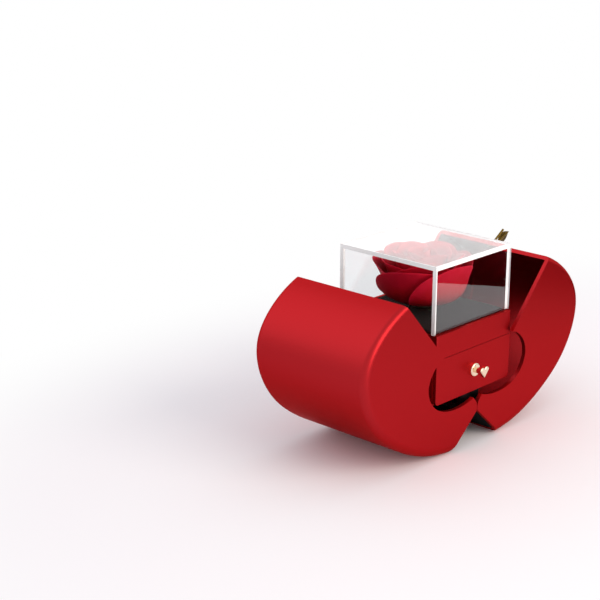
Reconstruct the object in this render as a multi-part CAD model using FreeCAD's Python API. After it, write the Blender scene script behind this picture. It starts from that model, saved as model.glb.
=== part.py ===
"""Apple gift box: two geared half shells, a centre block with a drawer, and a rose under a clear cover.

Everything is drawn with the apple closed and standing on its base: x from the split plane, y back from the
front of the shells, z up from the base. The halves are then swung open and the whole box is set on the floor.
All sizes are in millimetres and all angles in degrees.
"""
import FreeCAD, Part
import math
import os

Vec = FreeCAD.Vector
X_AXIS = Vec(1, 0, 0)
Y_AXIS = Vec(0, 1, 0)
Z_AXIS = Vec(0, 0, 1)

# Half shells: depth, wall, the gap between the closed halves, and the rounding of the front and rear edges,
# which grows from the top towards the base
SHELL_DEPTH = 85.4
SHELL_WALL = 2.5
EDGE_ROUND_TOP = 3.2
EDGE_ROUND_BASE = 6.5
SPLIT_GAP = 0.3

# Outline of a closed half from the top of the split line round to the base
TOP_HEIGHT = 106.4
CROWN_X = 19.0
CROWN_RISE = 4.5
SHOULDER_X = 46.4
SHOULDER_FALL = 0.5
WIDEST_X = 63.5
WIDEST_HEIGHT = 71.2
FLANK_X = 60.5
FLANK_HEIGHT = 45.9
HEEL_X = 45.4
HEEL_HEIGHT = 11.7
BASE_X = 36.0

# Half of the heart window in the front wall
HEART_CUSP_HEIGHT = 53.0
HEART_LOBE_X = 9.0
HEART_LOBE_HEIGHT = 55.3
HEART_SHOULDER_X = 21.4
HEART_SHOULDER_HEIGHT = 50.6
HEART_WIDEST_X = 25.4
HEART_WIDEST_HEIGHT = 40.0
HEART_FLANK_X = 15.8
HEART_FLANK_HEIGHT = 20.0
HEART_TIP_HEIGHT = 9.3

# Hinge: two shafts side by side, geared together, each half turning by the opening angle
OPEN_ANGLE = 42.0
SHAFT_SPACING = 12.0
SHAFT_HEIGHT = 5.7
SHAFT_DIAMETER = 3.0
SHAFT_HEAD_DIAMETER = 5.0
SHAFT_HEAD_LENGTH = 1.2
SHAFT_TAIL = 1.8
CLIP_DIAMETER = 5.4
CLIP_THICKNESS = 0.6
CLIP_GROOVE_DIAMETER = 2.4
CLIP_GROOVE_START = 0.3
BORE_FIT = 0.02
RUNNING_FIT = 0.05

# Gear sectors on the hinge arms
GEAR_TEETH_ROUND = 16
SECTOR_TEETH = 4
GEAR_THICKNESS = 4.0
PRESSURE_ANGLE = 20.0
ADDENDUM_MODULES = 0.9
DEDENDUM_MODULES = 1.25
BACKLASH = 0.16
HUB_DIAMETER = 6.8

# Hinge arm feet and the base plates that they are screwed to
BASE_PLATE_THICKNESS = 2.0
BASE_PLATE_START = 7.6
FOOT_START = 11.0
FOOT_END = 22.0
FOOT_THICKNESS = 2.0
FOOT_FLANGE = 8.0
BOND_GAP = 0.05

# Small screws that hold hinge arms, brackets and the knob
SCREW_DIAMETER = 2.2
SCREW_HEAD_DIAMETER = 4.2
SCREW_HEAD_HEIGHT = 1.4
SCREW_BITE = 1.5
SCREW_FIT = 0.05
SCREW_SLOT_WIDTH = 0.7
SCREW_SLOT_DEPTH = 0.6

# Hinge brackets under the block
CHEEK_THICKNESS = 2.4
CHEEK_EYE_DIAMETER = 6.0
CHEEK_CLEARANCE = 0.3
BRACKET_PLATE = 1.5
BRACKET_SETBACK = 2.2
BRACKET_FLANGE = 9.0
BRACKET_SCREW_SPACING = 15.0

# Centre block: drawer bay below, tub for the flower bed above
BLOCK_WIDTH = 72.0
BLOCK_HEIGHT = 43.2
BLOCK_BOTTOM = 14.2
BLOCK_CLEARANCE = 1.5
BLOCK_SIDE_WALL = 2.5
BLOCK_FLOOR = 2.5
BLOCK_REAR_WALL = 2.5
BLOCK_CORNER_ROUND = 1.0
TUB_FLOOR = 2.0

# Drawer
DRAWER_FRONT_HEIGHT = 27.8
DRAWER_FRONT_THICKNESS = 2.5
DRAWER_FRONT_ROUND = 2.5
DRAWER_FRONT_SIDE_TRIM = 0.3
DRAWER_SIDE_CLEARANCE = 0.35
DRAWER_LIFT_CLEARANCE = 0.2
DRAWER_TOP_CLEARANCE = 0.3
DRAWER_REAR_CLEARANCE = 0.6
TRAY_HEIGHT = 23.0
TRAY_WALL = 2.0
TRAY_FLOOR = 1.6
INSERT_HEIGHT = 12.0
INSERT_FIT = 0.3
INSERT_SCREW_ROOM = 2.4
INSERT_CROWN = 1.2
RING_SLOT_WIDTH = 2.4
RING_SLOT_DEPTH = 7.0
RING_SLOT_LENGTH = 22.0
RING_SLOT_COUNT = 3
RING_SLOT_PITCH = 16.0

# Knob: round base, neck and a heart-shaped head
KNOB_BASE_DIAMETER = 8.5
KNOB_BASE_HEIGHT = 2.2
KNOB_BASE_ROUND = 1.0
KNOB_NECK_DIAMETER = 3.6
KNOB_NECK_LENGTH = 3.6
KNOB_HEART_WIDTH = 8.0
KNOB_HEART_HEIGHT = 6.6
KNOB_HEART_NOTCH = 1.2
KNOB_HEART_THICKNESS = 3.0
KNOB_HEART_ROUND = 0.7
KNOB_SCREW_BITE = 2.2

# Clear cover of bonded panes, as wide as the block
COVER_HEIGHT = 41.3
COVER_SETBACK = 2.0
COVER_WALL = 2.5
COVER_BED_CLEARANCE = 0.3

# Flower bed
BED_RISE = 1.5
BED_ROUND = 1.0

# Rose: calyx with its stalk, a bud in the middle and three whorls of petals
STALK_DIAMETER = 6.0
STALK_LENGTH = 9.0
STALK_FIT = 0.1
CALYX_RADIUS = 7.6
CALYX_STEP = 1.0
CALYX_STEP_HEIGHT = 4.0
PETAL_THICKNESS = 1.2
PETAL_FOOT_GAP = 0.2
PETAL_SIDE_GAP = 0.5
OUTER_PETALS = 5
OUTER_RIM_RADIUS = 27.5
OUTER_RIM_HEIGHT = 27.0
OUTER_BELLY_RADIUS = 22.5
OUTER_BELLY_HEIGHT = 9.5
MIDDLE_PETALS = 5
MIDDLE_RIM_RADIUS = 23.0
MIDDLE_RIM_HEIGHT = 32.0
MIDDLE_BELLY_RADIUS = 17.5
MIDDLE_BELLY_HEIGHT = 15.0
INNER_PETALS = 3
INNER_RIM_RADIUS = 16.0
INNER_RIM_HEIGHT = 34.5
INNER_BELLY_RADIUS = 12.0
INNER_BELLY_HEIGHT = 19.5
BUD_RADIUS = 8.0
BUD_BELLY_HEIGHT = 23.0
BUD_TOP_RADIUS = 5.0
BUD_TOP_HEIGHT = 35.5
BUD_DIMPLE = 3.0

# Stem and leaf on the right half: the stem's thread stands square to the crown, and its bar leans
STEM_X = 2.9
STEM_SETBACK = 3.5
STEM_DIAMETER = 1.4
STEM_LENGTH = 13.0
STEM_LEAN = 15.0
STEM_COLLAR_DIAMETER = 4.0
STEM_COLLAR_HEIGHT = 1.0
STEM_THREAD_END = 0.4
STEM_SEAT_GAP = 0.1
NUT_ACROSS_FLATS = 3.6
NUT_HEIGHT = 1.6
LEAF_LENGTH = 12.5
LEAF_WIDTH = 6.6
LEAF_THICKNESS = 0.8
LEAF_TILT = 9.0
LEAF_MIDDLE_ON_STEM = 10.8
LEAF_STEM_GAP = 0.1

# Drawing aid: how far a cutting shape runs past what it cuts
OVERRUN = 10.0
HAIR = 0.5

# Places worked out from the sizes above
CROWN_HEIGHT = TOP_HEIGHT + CROWN_RISE
SHOULDER_HEIGHT = TOP_HEIGHT - SHOULDER_FALL
PIVOT_X = SHAFT_SPACING / 2
MID_DEPTH = SHELL_DEPTH / 2
BLOCK_FRONT = SHELL_WALL + BLOCK_CLEARANCE
BLOCK_DEPTH = SHELL_DEPTH - 2 * BLOCK_FRONT
BLOCK_TOP = BLOCK_BOTTOM + BLOCK_HEIGHT
BAY_FLOOR = BLOCK_BOTTOM + BLOCK_FLOOR
BAY_FRONT = BLOCK_FRONT + DRAWER_FRONT_THICKNESS
BAY_TOP = BLOCK_BOTTOM + DRAWER_FRONT_HEIGHT + 2 * DRAWER_TOP_CLEARANCE
BAY_WIDTH = BLOCK_WIDTH - 2 * BLOCK_SIDE_WALL
BAY_REAR = BLOCK_FRONT + BLOCK_DEPTH - BLOCK_REAR_WALL
TUB_BOTTOM = BAY_TOP + TUB_FLOOR
COVER_WIDTH = BLOCK_WIDTH
COVER_FRONT = BLOCK_FRONT + COVER_SETBACK
COVER_DEPTH = BLOCK_DEPTH - 2 * COVER_SETBACK
BED_FRONT = COVER_FRONT + COVER_WALL
BED_DEPTH = COVER_DEPTH - 2 * COVER_WALL
BED_WIDTH = COVER_WIDTH - 2 * COVER_WALL
BED_TOP = BLOCK_TOP + BED_RISE
KNOB_HEIGHT = BLOCK_BOTTOM + DRAWER_TOP_CLEARANCE + DRAWER_FRONT_HEIGHT / 2
KNOB_TIP = KNOB_BASE_HEIGHT + KNOB_NECK_LENGTH + KNOB_HEART_THICKNESS
TRAY_LENGTH = BAY_REAR - BAY_FRONT - DRAWER_REAR_CLEARANCE
TRAY_WIDTH = BAY_WIDTH - 2 * DRAWER_SIDE_CLEARANCE
TRAY_BOTTOM = BAY_FLOOR + DRAWER_LIFT_CLEARANCE
GEAR_FRONT = BLOCK_FRONT + BRACKET_SETBACK + CHEEK_THICKNESS + CHEEK_CLEARANCE
BRACKET_LENGTH = 2 * (CHEEK_THICKNESS + CHEEK_CLEARANCE) + GEAR_THICKNESS
FOOT_SCREW_X = (FOOT_START + FOOT_END) / 2

OPEN_RADIANS = math.radians(OPEN_ANGLE)
KNOB_REACH = KNOB_TIP - BLOCK_FRONT


def at(x, z, y=0.0):
    """Point of the front view, at a depth."""
    return Vec(x, y, z)


def spline(points):
    """Smooth curve through points."""
    curve = Part.BSplineCurve()
    curve.interpolate(points)
    return curve


def prism(edges, start, length):
    """Solid of an outline in the front view, from one depth over a length."""
    face = Part.Face(Part.Wire(edges))
    face.translate(Vec(0, start, 0))
    return face.extrude(Vec(0, length, 0))


def polygon(points):
    """Edges of a closed polygon."""
    return Part.makePolygon(points + points[:1]).Edges


def box(low, high):
    """Box between two corners."""
    size = high - low
    return Part.makeBox(size.x, size.y, size.z, low)


def rod(diameter, length, start, direction):
    """Round bar."""
    return Part.makeCylinder(diameter / 2, length, start, direction)


def mirrored(shape):
    """Shape on the other side of the split plane."""
    return shape.mirror(Vec(), X_AXIS)


def mirrored_in_depth(shape):
    """Shape at the other end of the box's depth."""
    return shape.mirror(Vec(0, MID_DEPTH, 0), Y_AXIS)


def joined(first, *others):
    """One clean solid from shapes that touch or overlap."""
    return first.fuse(list(others)).removeSplitter()


# Half shells

def outline_points(inset):
    """Points of a half's outline, moved inwards by an inset."""
    points = [
        at(0, TOP_HEIGHT),
        at(CROWN_X, CROWN_HEIGHT),
        at(SHOULDER_X, SHOULDER_HEIGHT),
        at(WIDEST_X, WIDEST_HEIGHT),
        at(FLANK_X, FLANK_HEIGHT),
        at(HEEL_X, HEEL_HEIGHT),
        at(BASE_X, 0),
    ]
    curve = spline(points)
    moved = []
    for point in points:
        along = curve.tangent(curve.parameter(point))[0]
        inwards = Y_AXIS.cross(along)
        moved.append(point + inwards * inset)
    return moved


def outline(inset):
    """Curve of a half's outline, moved inwards by an inset and run past the split plane and the base."""
    points = outline_points(inset)
    curve = spline(points)
    top_run = points[0] - curve.tangent(curve.FirstParameter)[0] * OVERRUN
    base_run = points[-1] + curve.tangent(curve.LastParameter)[0] * OVERRUN
    return spline([top_run] + points + [base_run])


def lobe(inset):
    """Solid half apple that runs past the split plane and the base, with its front and rear edges rounded."""
    curve = outline(inset)
    corner = at(curve.StartPoint.x, curve.EndPoint.z)
    edges = [
        curve.toShape(),
        Part.LineSegment(curve.EndPoint, corner).toShape(),
        Part.LineSegment(corner, curve.StartPoint).toShape(),
    ]
    solid = prism(edges, inset, SHELL_DEPTH - 2 * inset)
    rounded = [
        edge
        for edge in solid.Edges
        if isinstance(edge.Curve, Part.BSplineCurve) and edge.BoundBox.YLength < HAIR
    ]
    return solid.makeFillet(EDGE_ROUND_TOP - inset, EDGE_ROUND_BASE - inset, rounded)


def half_space():
    """Room of the right half: right of the split line, round the hinge, past the stop flat and above the base."""
    edge_x = SPLIT_GAP / 2
    pivot = at(PIVOT_X, SHAFT_HEIGHT)
    radius = PIVOT_X - edge_x

    def on_turn(angle):
        """Point of the rounded corner, by its angle past the split side."""
        turn = math.radians(180 + angle)
        return pivot + at(radius * math.cos(turn), radius * math.sin(turn))

    flat_start = on_turn(OPEN_ANGLE)
    flat_end = at(flat_start.x + flat_start.z / math.tan(math.pi / 2 - OPEN_RADIANS), 0)
    top = CROWN_HEIGHT + OVERRUN
    right = WIDEST_X + OVERRUN
    edges = [
        Part.LineSegment(at(edge_x, top), on_turn(0)).toShape(),
        Part.Arc(on_turn(0), on_turn(OPEN_ANGLE / 2), flat_start).toShape(),
        Part.LineSegment(flat_start, flat_end).toShape(),
        Part.LineSegment(flat_end, at(right, 0)).toShape(),
        Part.LineSegment(at(right, 0), at(right, top)).toShape(),
        Part.LineSegment(at(right, top), at(edge_x, top)).toShape(),
    ]
    return prism(edges, -OVERRUN, SHELL_DEPTH + 2 * OVERRUN)


def heart_window():
    """Cutter for the right half of the heart window in the front wall."""
    curve = spline([
        at(0, HEART_CUSP_HEIGHT),
        at(HEART_LOBE_X, HEART_LOBE_HEIGHT),
        at(HEART_SHOULDER_X, HEART_SHOULDER_HEIGHT),
        at(HEART_WIDEST_X, HEART_WIDEST_HEIGHT),
        at(HEART_FLANK_X, HEART_FLANK_HEIGHT),
        at(0, HEART_TIP_HEIGHT),
    ])
    edges = [curve.toShape(), Part.LineSegment(curve.EndPoint, curve.StartPoint).toShape()]
    return prism(edges, -OVERRUN, OVERRUN + SHELL_WALL + HAIR)


def shell():
    """Red half shell, open on the split side and at the base."""
    walls = lobe(0).common(half_space()).cut(lobe(SHELL_WALL))
    return walls.cut(heart_window())


def base_plate():
    """Black plate that closes the base between the walls, with pilot holes for the hinge arm screws."""
    slab = box(
        Vec(BASE_PLATE_START, 0, 0),
        Vec(WIDEST_X, SHELL_DEPTH, BASE_PLATE_THICKNESS),
    )
    plate = slab.common(lobe(SHELL_WALL + BOND_GAP))
    depth = SCREW_BITE + SCREW_FIT
    for y in foot_screw_depths():
        start = Vec(FOOT_SCREW_X, y, BASE_PLATE_THICKNESS - depth)
        plate = plate.cut(rod(SCREW_DIAMETER + 2 * SCREW_FIT, depth, start, Z_AXIS))
    return plate


# Geared hinge

def tooth(angle):
    """One involute tooth, pointing at an angle, running down into the gear's body."""
    module = SHAFT_SPACING / GEAR_TEETH_ROUND
    pitch_radius = SHAFT_SPACING / 2
    base_radius = pitch_radius * math.cos(math.radians(PRESSURE_ANGLE))
    tip_radius = pitch_radius + ADDENDUM_MODULES * module
    root_radius = pitch_radius - DEDENDUM_MODULES * module

    def involute(radius):
        """Angle by which the flank has turned at a radius."""
        slope = math.acos(min(1.0, base_radius / radius))
        return math.tan(slope) - slope

    half_pitch = (math.pi * module / 2 - BACKLASH) / (2 * pitch_radius)

    def flank(radius, side):
        """Point of one flank."""
        lean = half_pitch + involute(pitch_radius) - involute(max(radius, base_radius))
        turn = math.radians(angle) + side * lean
        return at(PIVOT_X + radius * math.cos(turn), SHAFT_HEIGHT + radius * math.sin(turn))

    foot_radius = root_radius - HAIR
    edges = [Part.LineSegment(flank(foot_radius, -1), flank(base_radius, -1)).toShape()]
    edges.append(Part.Arc(flank(base_radius, -1), flank(pitch_radius, -1), flank(tip_radius, -1)).toShape())
    edges.append(Part.LineSegment(flank(tip_radius, -1), flank(tip_radius, 1)).toShape())
    edges.append(Part.Arc(flank(tip_radius, 1), flank(pitch_radius, 1), flank(base_radius, 1)).toShape())
    edges.append(Part.LineSegment(flank(base_radius, 1), flank(foot_radius, 1)).toShape())
    edges.append(Part.LineSegment(flank(foot_radius, 1), flank(foot_radius, -1)).toShape())
    return prism(edges, GEAR_FRONT, GEAR_THICKNESS)


def pie(radius, start, sweep):
    """Piece of a disc about the right shaft, as thick as a gear."""
    def rim(angle):
        """Point of the rim."""
        turn = math.radians(angle)
        return at(PIVOT_X + radius * math.cos(turn), SHAFT_HEIGHT + radius * math.sin(turn))

    pivot = at(PIVOT_X, SHAFT_HEIGHT)
    edges = [
        Part.LineSegment(pivot, rim(start)).toShape(),
        Part.Arc(rim(start), rim(start + sweep / 2), rim(start + sweep)).toShape(),
        Part.LineSegment(rim(start + sweep), pivot).toShape(),
    ]
    return prism(edges, GEAR_FRONT, GEAR_THICKNESS)


def hinge_arm(tooth_offset):
    """Front hinge arm of the right half: gear sector and hub on the shaft, and a foot on the base plate."""
    module = SHAFT_SPACING / GEAR_TEETH_ROUND
    pitch = 360 / GEAR_TEETH_ROUND
    root_radius = SHAFT_SPACING / 2 - DEDENDUM_MODULES * module
    first = 180 - pitch + tooth_offset * pitch
    pivot = Vec(PIVOT_X, GEAR_FRONT, SHAFT_HEIGHT)
    hub = rod(HUB_DIAMETER, GEAR_THICKNESS, pivot, Y_AXIS)
    sector = pie(root_radius, first - pitch / 2, SECTOR_TEETH * pitch)
    teeth = [tooth(first + index * pitch) for index in range(SECTOR_TEETH)]
    foot_top = BASE_PLATE_THICKNESS + FOOT_THICKNESS
    arm = prism(
        polygon([
            at(PIVOT_X, SHAFT_HEIGHT + HUB_DIAMETER / 2),
            at(FOOT_END, foot_top),
            at(FOOT_END, BASE_PLATE_THICKNESS),
            at(BASE_PLATE_START + BOND_GAP, BASE_PLATE_THICKNESS),
            at(PIVOT_X, SHAFT_HEIGHT - HUB_DIAMETER / 2),
        ]),
        GEAR_FRONT,
        GEAR_THICKNESS,
    )
    foot = box(
        Vec(FOOT_START, GEAR_FRONT, BASE_PLATE_THICKNESS),
        Vec(FOOT_END, GEAR_FRONT + GEAR_THICKNESS + FOOT_FLANGE, foot_top),
    )
    body = joined(hub, sector, arm, foot, *teeth)
    bore = rod(SHAFT_DIAMETER + 2 * RUNNING_FIT, GEAR_THICKNESS, pivot, Y_AXIS)
    hole_start = Vec(FOOT_SCREW_X, foot_screw_depths()[0], BASE_PLATE_THICKNESS)
    hole = rod(SCREW_DIAMETER + 2 * SCREW_FIT, FOOT_THICKNESS, hole_start, Z_AXIS)
    return body.cut([bore, hole])


def foot_screw_depths():
    """Depths of the two hinge arm screws of a half."""
    front = GEAR_FRONT + GEAR_THICKNESS + FOOT_FLANGE / 2
    return front, SHELL_DEPTH - front


def screw(length):
    """Slotted round-head screw along z, with the underside of its head at the origin and its shank downwards."""
    head = rod(SCREW_HEAD_DIAMETER, SCREW_HEAD_HEIGHT, Vec(), Z_AXIS)
    head = head.makeFillet(SCREW_HEAD_HEIGHT / 2, [edge_at(head, SCREW_HEAD_HEIGHT)])
    shank = rod(SCREW_DIAMETER, length, Vec(), -Z_AXIS)
    slot = box(
        Vec(-SCREW_HEAD_DIAMETER, -SCREW_SLOT_WIDTH / 2, SCREW_HEAD_HEIGHT - SCREW_SLOT_DEPTH),
        Vec(SCREW_HEAD_DIAMETER, SCREW_SLOT_WIDTH / 2, SCREW_HEAD_HEIGHT + HAIR),
    )
    return joined(head, shank).cut(slot)


def edge_at(solid, height):
    """Round edge of a turned solid at a height."""
    for edge in solid.Edges:
        if isinstance(edge.Curve, Part.Circle) and abs(edge.CenterOfMass.z - height) < HAIR / 10:
            return edge
    raise ValueError("no round edge at that height")


def hinge_arm_screws():
    """Screws that hold the right half's hinge arms to its base plate."""
    screws = []
    for y in foot_screw_depths():
        one = screw(FOOT_THICKNESS + SCREW_BITE)
        one.translate(Vec(FOOT_SCREW_X, y, BASE_PLATE_THICKNESS + FOOT_THICKNESS))
        screws.append(one)
    return Part.makeCompound(screws)


def bracket_screw_places():
    """Places of the four bracket screws on the underside of the block."""
    front = BLOCK_FRONT + BRACKET_SETBACK + BRACKET_LENGTH + BRACKET_FLANGE / 2
    half = BRACKET_SCREW_SPACING / 2
    return [Vec(x, y, BLOCK_BOTTOM) for y in (front, SHELL_DEPTH - front) for x in (-half, half)]


def hinge_bracket():
    """Front bracket: a plate under the block and two cheeks with an eye for each shaft."""
    start = BLOCK_FRONT + BRACKET_SETBACK
    eye_radius = CHEEK_EYE_DIAMETER / 2
    half_width = PIVOT_X + eye_radius
    plate_bottom = BLOCK_BOTTOM - BRACKET_PLATE
    plate_half = BRACKET_SCREW_SPACING / 2 + SCREW_HEAD_DIAMETER
    plate = box(
        Vec(-plate_half, start, plate_bottom),
        Vec(plate_half, start + BRACKET_LENGTH + BRACKET_FLANGE, BLOCK_BOTTOM),
    )
    pieces = []
    bores = []
    for y in (start, start + BRACKET_LENGTH - CHEEK_THICKNESS):
        pieces.append(box(Vec(-half_width, y, SHAFT_HEIGHT), Vec(half_width, y + CHEEK_THICKNESS, plate_bottom)))
        for x in (-PIVOT_X, PIVOT_X):
            centre = Vec(x, y, SHAFT_HEIGHT)
            pieces.append(rod(CHEEK_EYE_DIAMETER, CHEEK_THICKNESS, centre, Y_AXIS))
            bores.append(rod(SHAFT_DIAMETER + 2 * BORE_FIT, CHEEK_THICKNESS, centre, Y_AXIS))
    for place in bracket_screw_places()[:2]:
        bores.append(rod(SCREW_DIAMETER + 2 * SCREW_FIT, BRACKET_PLATE, place, -Z_AXIS))
    return joined(plate, *pieces).cut(bores)


def bracket_screws():
    """Screws that hold both brackets to the block, heads down."""
    screws = []
    for place in bracket_screw_places():
        one = screw(BRACKET_PLATE + SCREW_BITE)
        one.rotate(Vec(), X_AXIS, 180)
        one.translate(place - Z_AXIS * BRACKET_PLATE)
        screws.append(one)
    return Part.makeCompound(screws)


def hinge_shaft():
    """Right shaft: head in front of the front bracket, groove for a clip behind the rear bracket."""
    front = BLOCK_FRONT + BRACKET_SETBACK
    rear = SHELL_DEPTH - front
    pivot = Vec(PIVOT_X, front, SHAFT_HEIGHT)
    body = rod(SHAFT_DIAMETER, rear - front + SHAFT_TAIL, pivot, Y_AXIS)
    head = rod(SHAFT_HEAD_DIAMETER, SHAFT_HEAD_LENGTH, pivot, -Y_AXIS)
    groove_start = pivot + Y_AXIS * (rear - front + CLIP_GROOVE_START)
    ring = rod(CLIP_DIAMETER, CLIP_THICKNESS + 2 * BORE_FIT, groove_start, Y_AXIS)
    core = rod(CLIP_GROOVE_DIAMETER, CLIP_THICKNESS + 2 * BORE_FIT, groove_start, Y_AXIS)
    return joined(body, head).cut(ring.cut(core))


def shaft_clips():
    """Open retaining clips in the grooves of both shafts."""
    start = Vec(PIVOT_X, SHELL_DEPTH - BLOCK_FRONT - BRACKET_SETBACK + CLIP_GROOVE_START + BORE_FIT, SHAFT_HEIGHT)
    ring = rod(CLIP_DIAMETER, CLIP_THICKNESS, start, Y_AXIS)
    core = rod(CLIP_GROOVE_DIAMETER + 2 * BORE_FIT, CLIP_THICKNESS, start, Y_AXIS)
    half_slot = CLIP_GROOVE_DIAMETER / 2 - BORE_FIT
    slot = box(
        start + Vec(-half_slot, 0, -CLIP_DIAMETER),
        start + Vec(half_slot, CLIP_THICKNESS, 0),
    )
    clip = ring.cut([core, slot])
    return Part.makeCompound([mirrored(clip), clip])


# Centre block

def block_housing():
    """Red case: drawer bay open at the front, floor with screw holes, and a tub open at the top."""
    half = BLOCK_WIDTH / 2
    rear = BLOCK_FRONT + BLOCK_DEPTH
    body = box(Vec(-half, BLOCK_FRONT, BLOCK_BOTTOM), Vec(half, rear, BLOCK_TOP))
    upright = [edge for edge in body.Edges if edge.BoundBox.ZLength > HAIR]
    body = body.makeFillet(BLOCK_CORNER_ROUND, upright)
    bay_half = BAY_WIDTH / 2
    bay = box(Vec(-bay_half, BLOCK_FRONT - HAIR, BAY_FLOOR), Vec(bay_half, BAY_REAR, BAY_TOP))
    front_seat = box(Vec(-half - HAIR, BLOCK_FRONT - HAIR, BLOCK_BOTTOM - HAIR), Vec(half + HAIR, BAY_FRONT, BAY_TOP))
    bed_half = BED_WIDTH / 2
    tub = box(
        Vec(-bed_half, BED_FRONT, TUB_BOTTOM),
        Vec(bed_half, BED_FRONT + BED_DEPTH, BLOCK_TOP + HAIR),
    )
    holes = [
        rod(SCREW_DIAMETER + 2 * SCREW_FIT, SCREW_BITE + SCREW_FIT, place, Z_AXIS)
        for place in bracket_screw_places()
    ]
    return body.cut([bay, front_seat, tub] + holes)


def flower_bed():
    """Black flocked foam in the tub, standing a little above the rim inside the cover."""
    half = BED_WIDTH / 2 - COVER_BED_CLEARANCE
    front = BED_FRONT + COVER_BED_CLEARANCE
    rear = BED_FRONT + BED_DEPTH - COVER_BED_CLEARANCE
    body = box(Vec(-half, front, TUB_BOTTOM), Vec(half, rear, BED_TOP))
    top_edges = [edge for edge in body.Edges if edge.BoundBox.ZMin > BED_TOP - HAIR]
    body = body.makeFillet(BED_ROUND, top_edges)
    depth = STALK_LENGTH + STALK_FIT
    return body.cut(rod(STALK_DIAMETER + 2 * STALK_FIT, depth, Vec(0, MID_DEPTH, BED_TOP - depth), Z_AXIS))


# Rose

def turned(edges, sweep=360.0, start=0.0):
    """Solid turned about the rose's axis from an outline of radius and height above the bed."""
    face = Part.Face(Part.Wire(edges))
    solid = face.revolve(Vec(), Z_AXIS, sweep)
    solid.rotate(Vec(), Z_AXIS, start)
    solid.translate(Vec(0, MID_DEPTH, BED_TOP))
    return solid


def calyx_radius(step):
    """Radius of one step of the calyx."""
    return CALYX_RADIUS - step * CALYX_STEP


def rose_calyx():
    """Stepped receptacle, one step for each whorl, on the stalk that is pushed into the bed."""
    points = [at(0, -STALK_LENGTH), at(STALK_DIAMETER / 2, -STALK_LENGTH), at(STALK_DIAMETER / 2, 0)]
    for step in range(3):
        points.append(at(calyx_radius(step), step * CALYX_STEP_HEIGHT))
        points.append(at(calyx_radius(step), (step + 1) * CALYX_STEP_HEIGHT))
    points.append(at(0, 3 * CALYX_STEP_HEIGHT))
    return turned(polygon(points))


def rose_bud():
    """Rolled bud in the middle of the bloom, with a dimple in its top."""
    foot = at(calyx_radius(2), 3 * CALYX_STEP_HEIGHT)
    top = at(BUD_TOP_RADIUS, BUD_TOP_HEIGHT)
    dimple = at(0, BUD_TOP_HEIGHT - BUD_DIMPLE)
    edges = [
        Part.LineSegment(at(0, foot.z), foot).toShape(),
        Part.Arc(foot, at(BUD_RADIUS, BUD_BELLY_HEIGHT), top).toShape(),
        Part.LineSegment(top, dimple).toShape(),
        Part.LineSegment(dimple, at(0, foot.z)).toShape(),
    ]
    return turned(edges)


def petal_whorl(step, count, belly, rim, turn):
    """Ring of cupped petals with round tops, standing against one step of the calyx."""
    thickness = PETAL_THICKNESS
    foot = at(calyx_radius(step) + PETAL_FOOT_GAP, (step + 0.5) * CALYX_STEP_HEIGHT)
    lower = at(thickness / 2, -thickness)
    outwards = at(thickness, -thickness / 2)
    edges = [
        Part.Arc(foot, belly, rim).toShape(),
        Part.LineSegment(rim, rim + at(thickness, 0)).toShape(),
        Part.Arc(rim + at(thickness, 0), belly + outwards, foot + lower).toShape(),
        Part.LineSegment(foot + lower, foot).toShape(),
    ]
    gap = math.degrees(PETAL_SIDE_GAP / foot.x)
    sweep = 360 / count - gap
    top_radius = (rim.x + thickness) * math.sin(math.radians(min(90, 180 / count)))
    petals = []
    for index in range(count):
        start = turn + index * 360 / count
        petal = turned(edges, sweep, start)
        middle = math.radians(start + sweep / 2)
        centre = Vec(0, MID_DEPTH, BED_TOP + rim.z - top_radius)
        outlook = Vec(math.cos(middle), math.sin(middle), 0)
        petals.append(petal.common(rod(2 * top_radius, rim.x + OVERRUN, centre, outlook)))
    return Part.makeCompound(petals)


# Drawer

def knob_screw_hole(diameter, start, length):
    """Cutter along the knob's axis."""
    return rod(diameter, length, Vec(0, start, KNOB_HEIGHT), Y_AXIS)


def drawer_front():
    """Red front panel as wide as the block, with rounded lower corners."""
    half = BLOCK_WIDTH / 2 - DRAWER_FRONT_SIDE_TRIM
    bottom = BLOCK_BOTTOM + DRAWER_TOP_CLEARANCE
    panel = box(
        Vec(-half, BLOCK_FRONT, bottom),
        Vec(half, BAY_FRONT, bottom + DRAWER_FRONT_HEIGHT),
    )
    corners = [
        edge
        for edge in panel.Edges
        if edge.BoundBox.YLength > HAIR and edge.CenterOfMass.z < KNOB_HEIGHT
    ]
    panel = panel.makeFillet(DRAWER_FRONT_ROUND, corners)
    return panel.cut(knob_screw_hole(SCREW_DIAMETER + 2 * SCREW_FIT, BLOCK_FRONT, DRAWER_FRONT_THICKNESS))


def drawer_tray():
    """Open tray behind the front panel."""
    half = TRAY_WIDTH / 2
    rear = BAY_FRONT + TRAY_LENGTH
    body = box(Vec(-half, BAY_FRONT, TRAY_BOTTOM), Vec(half, rear, TRAY_BOTTOM + TRAY_HEIGHT))
    inside = box(
        Vec(-half + TRAY_WALL, BAY_FRONT + TRAY_WALL, TRAY_BOTTOM + TRAY_FLOOR),
        Vec(half - TRAY_WALL, rear - TRAY_WALL, TRAY_BOTTOM + TRAY_HEIGHT + HAIR),
    )
    hole = knob_screw_hole(SCREW_DIAMETER + 2 * SCREW_FIT, BAY_FRONT, TRAY_WALL)
    return body.cut([inside, hole])


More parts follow.
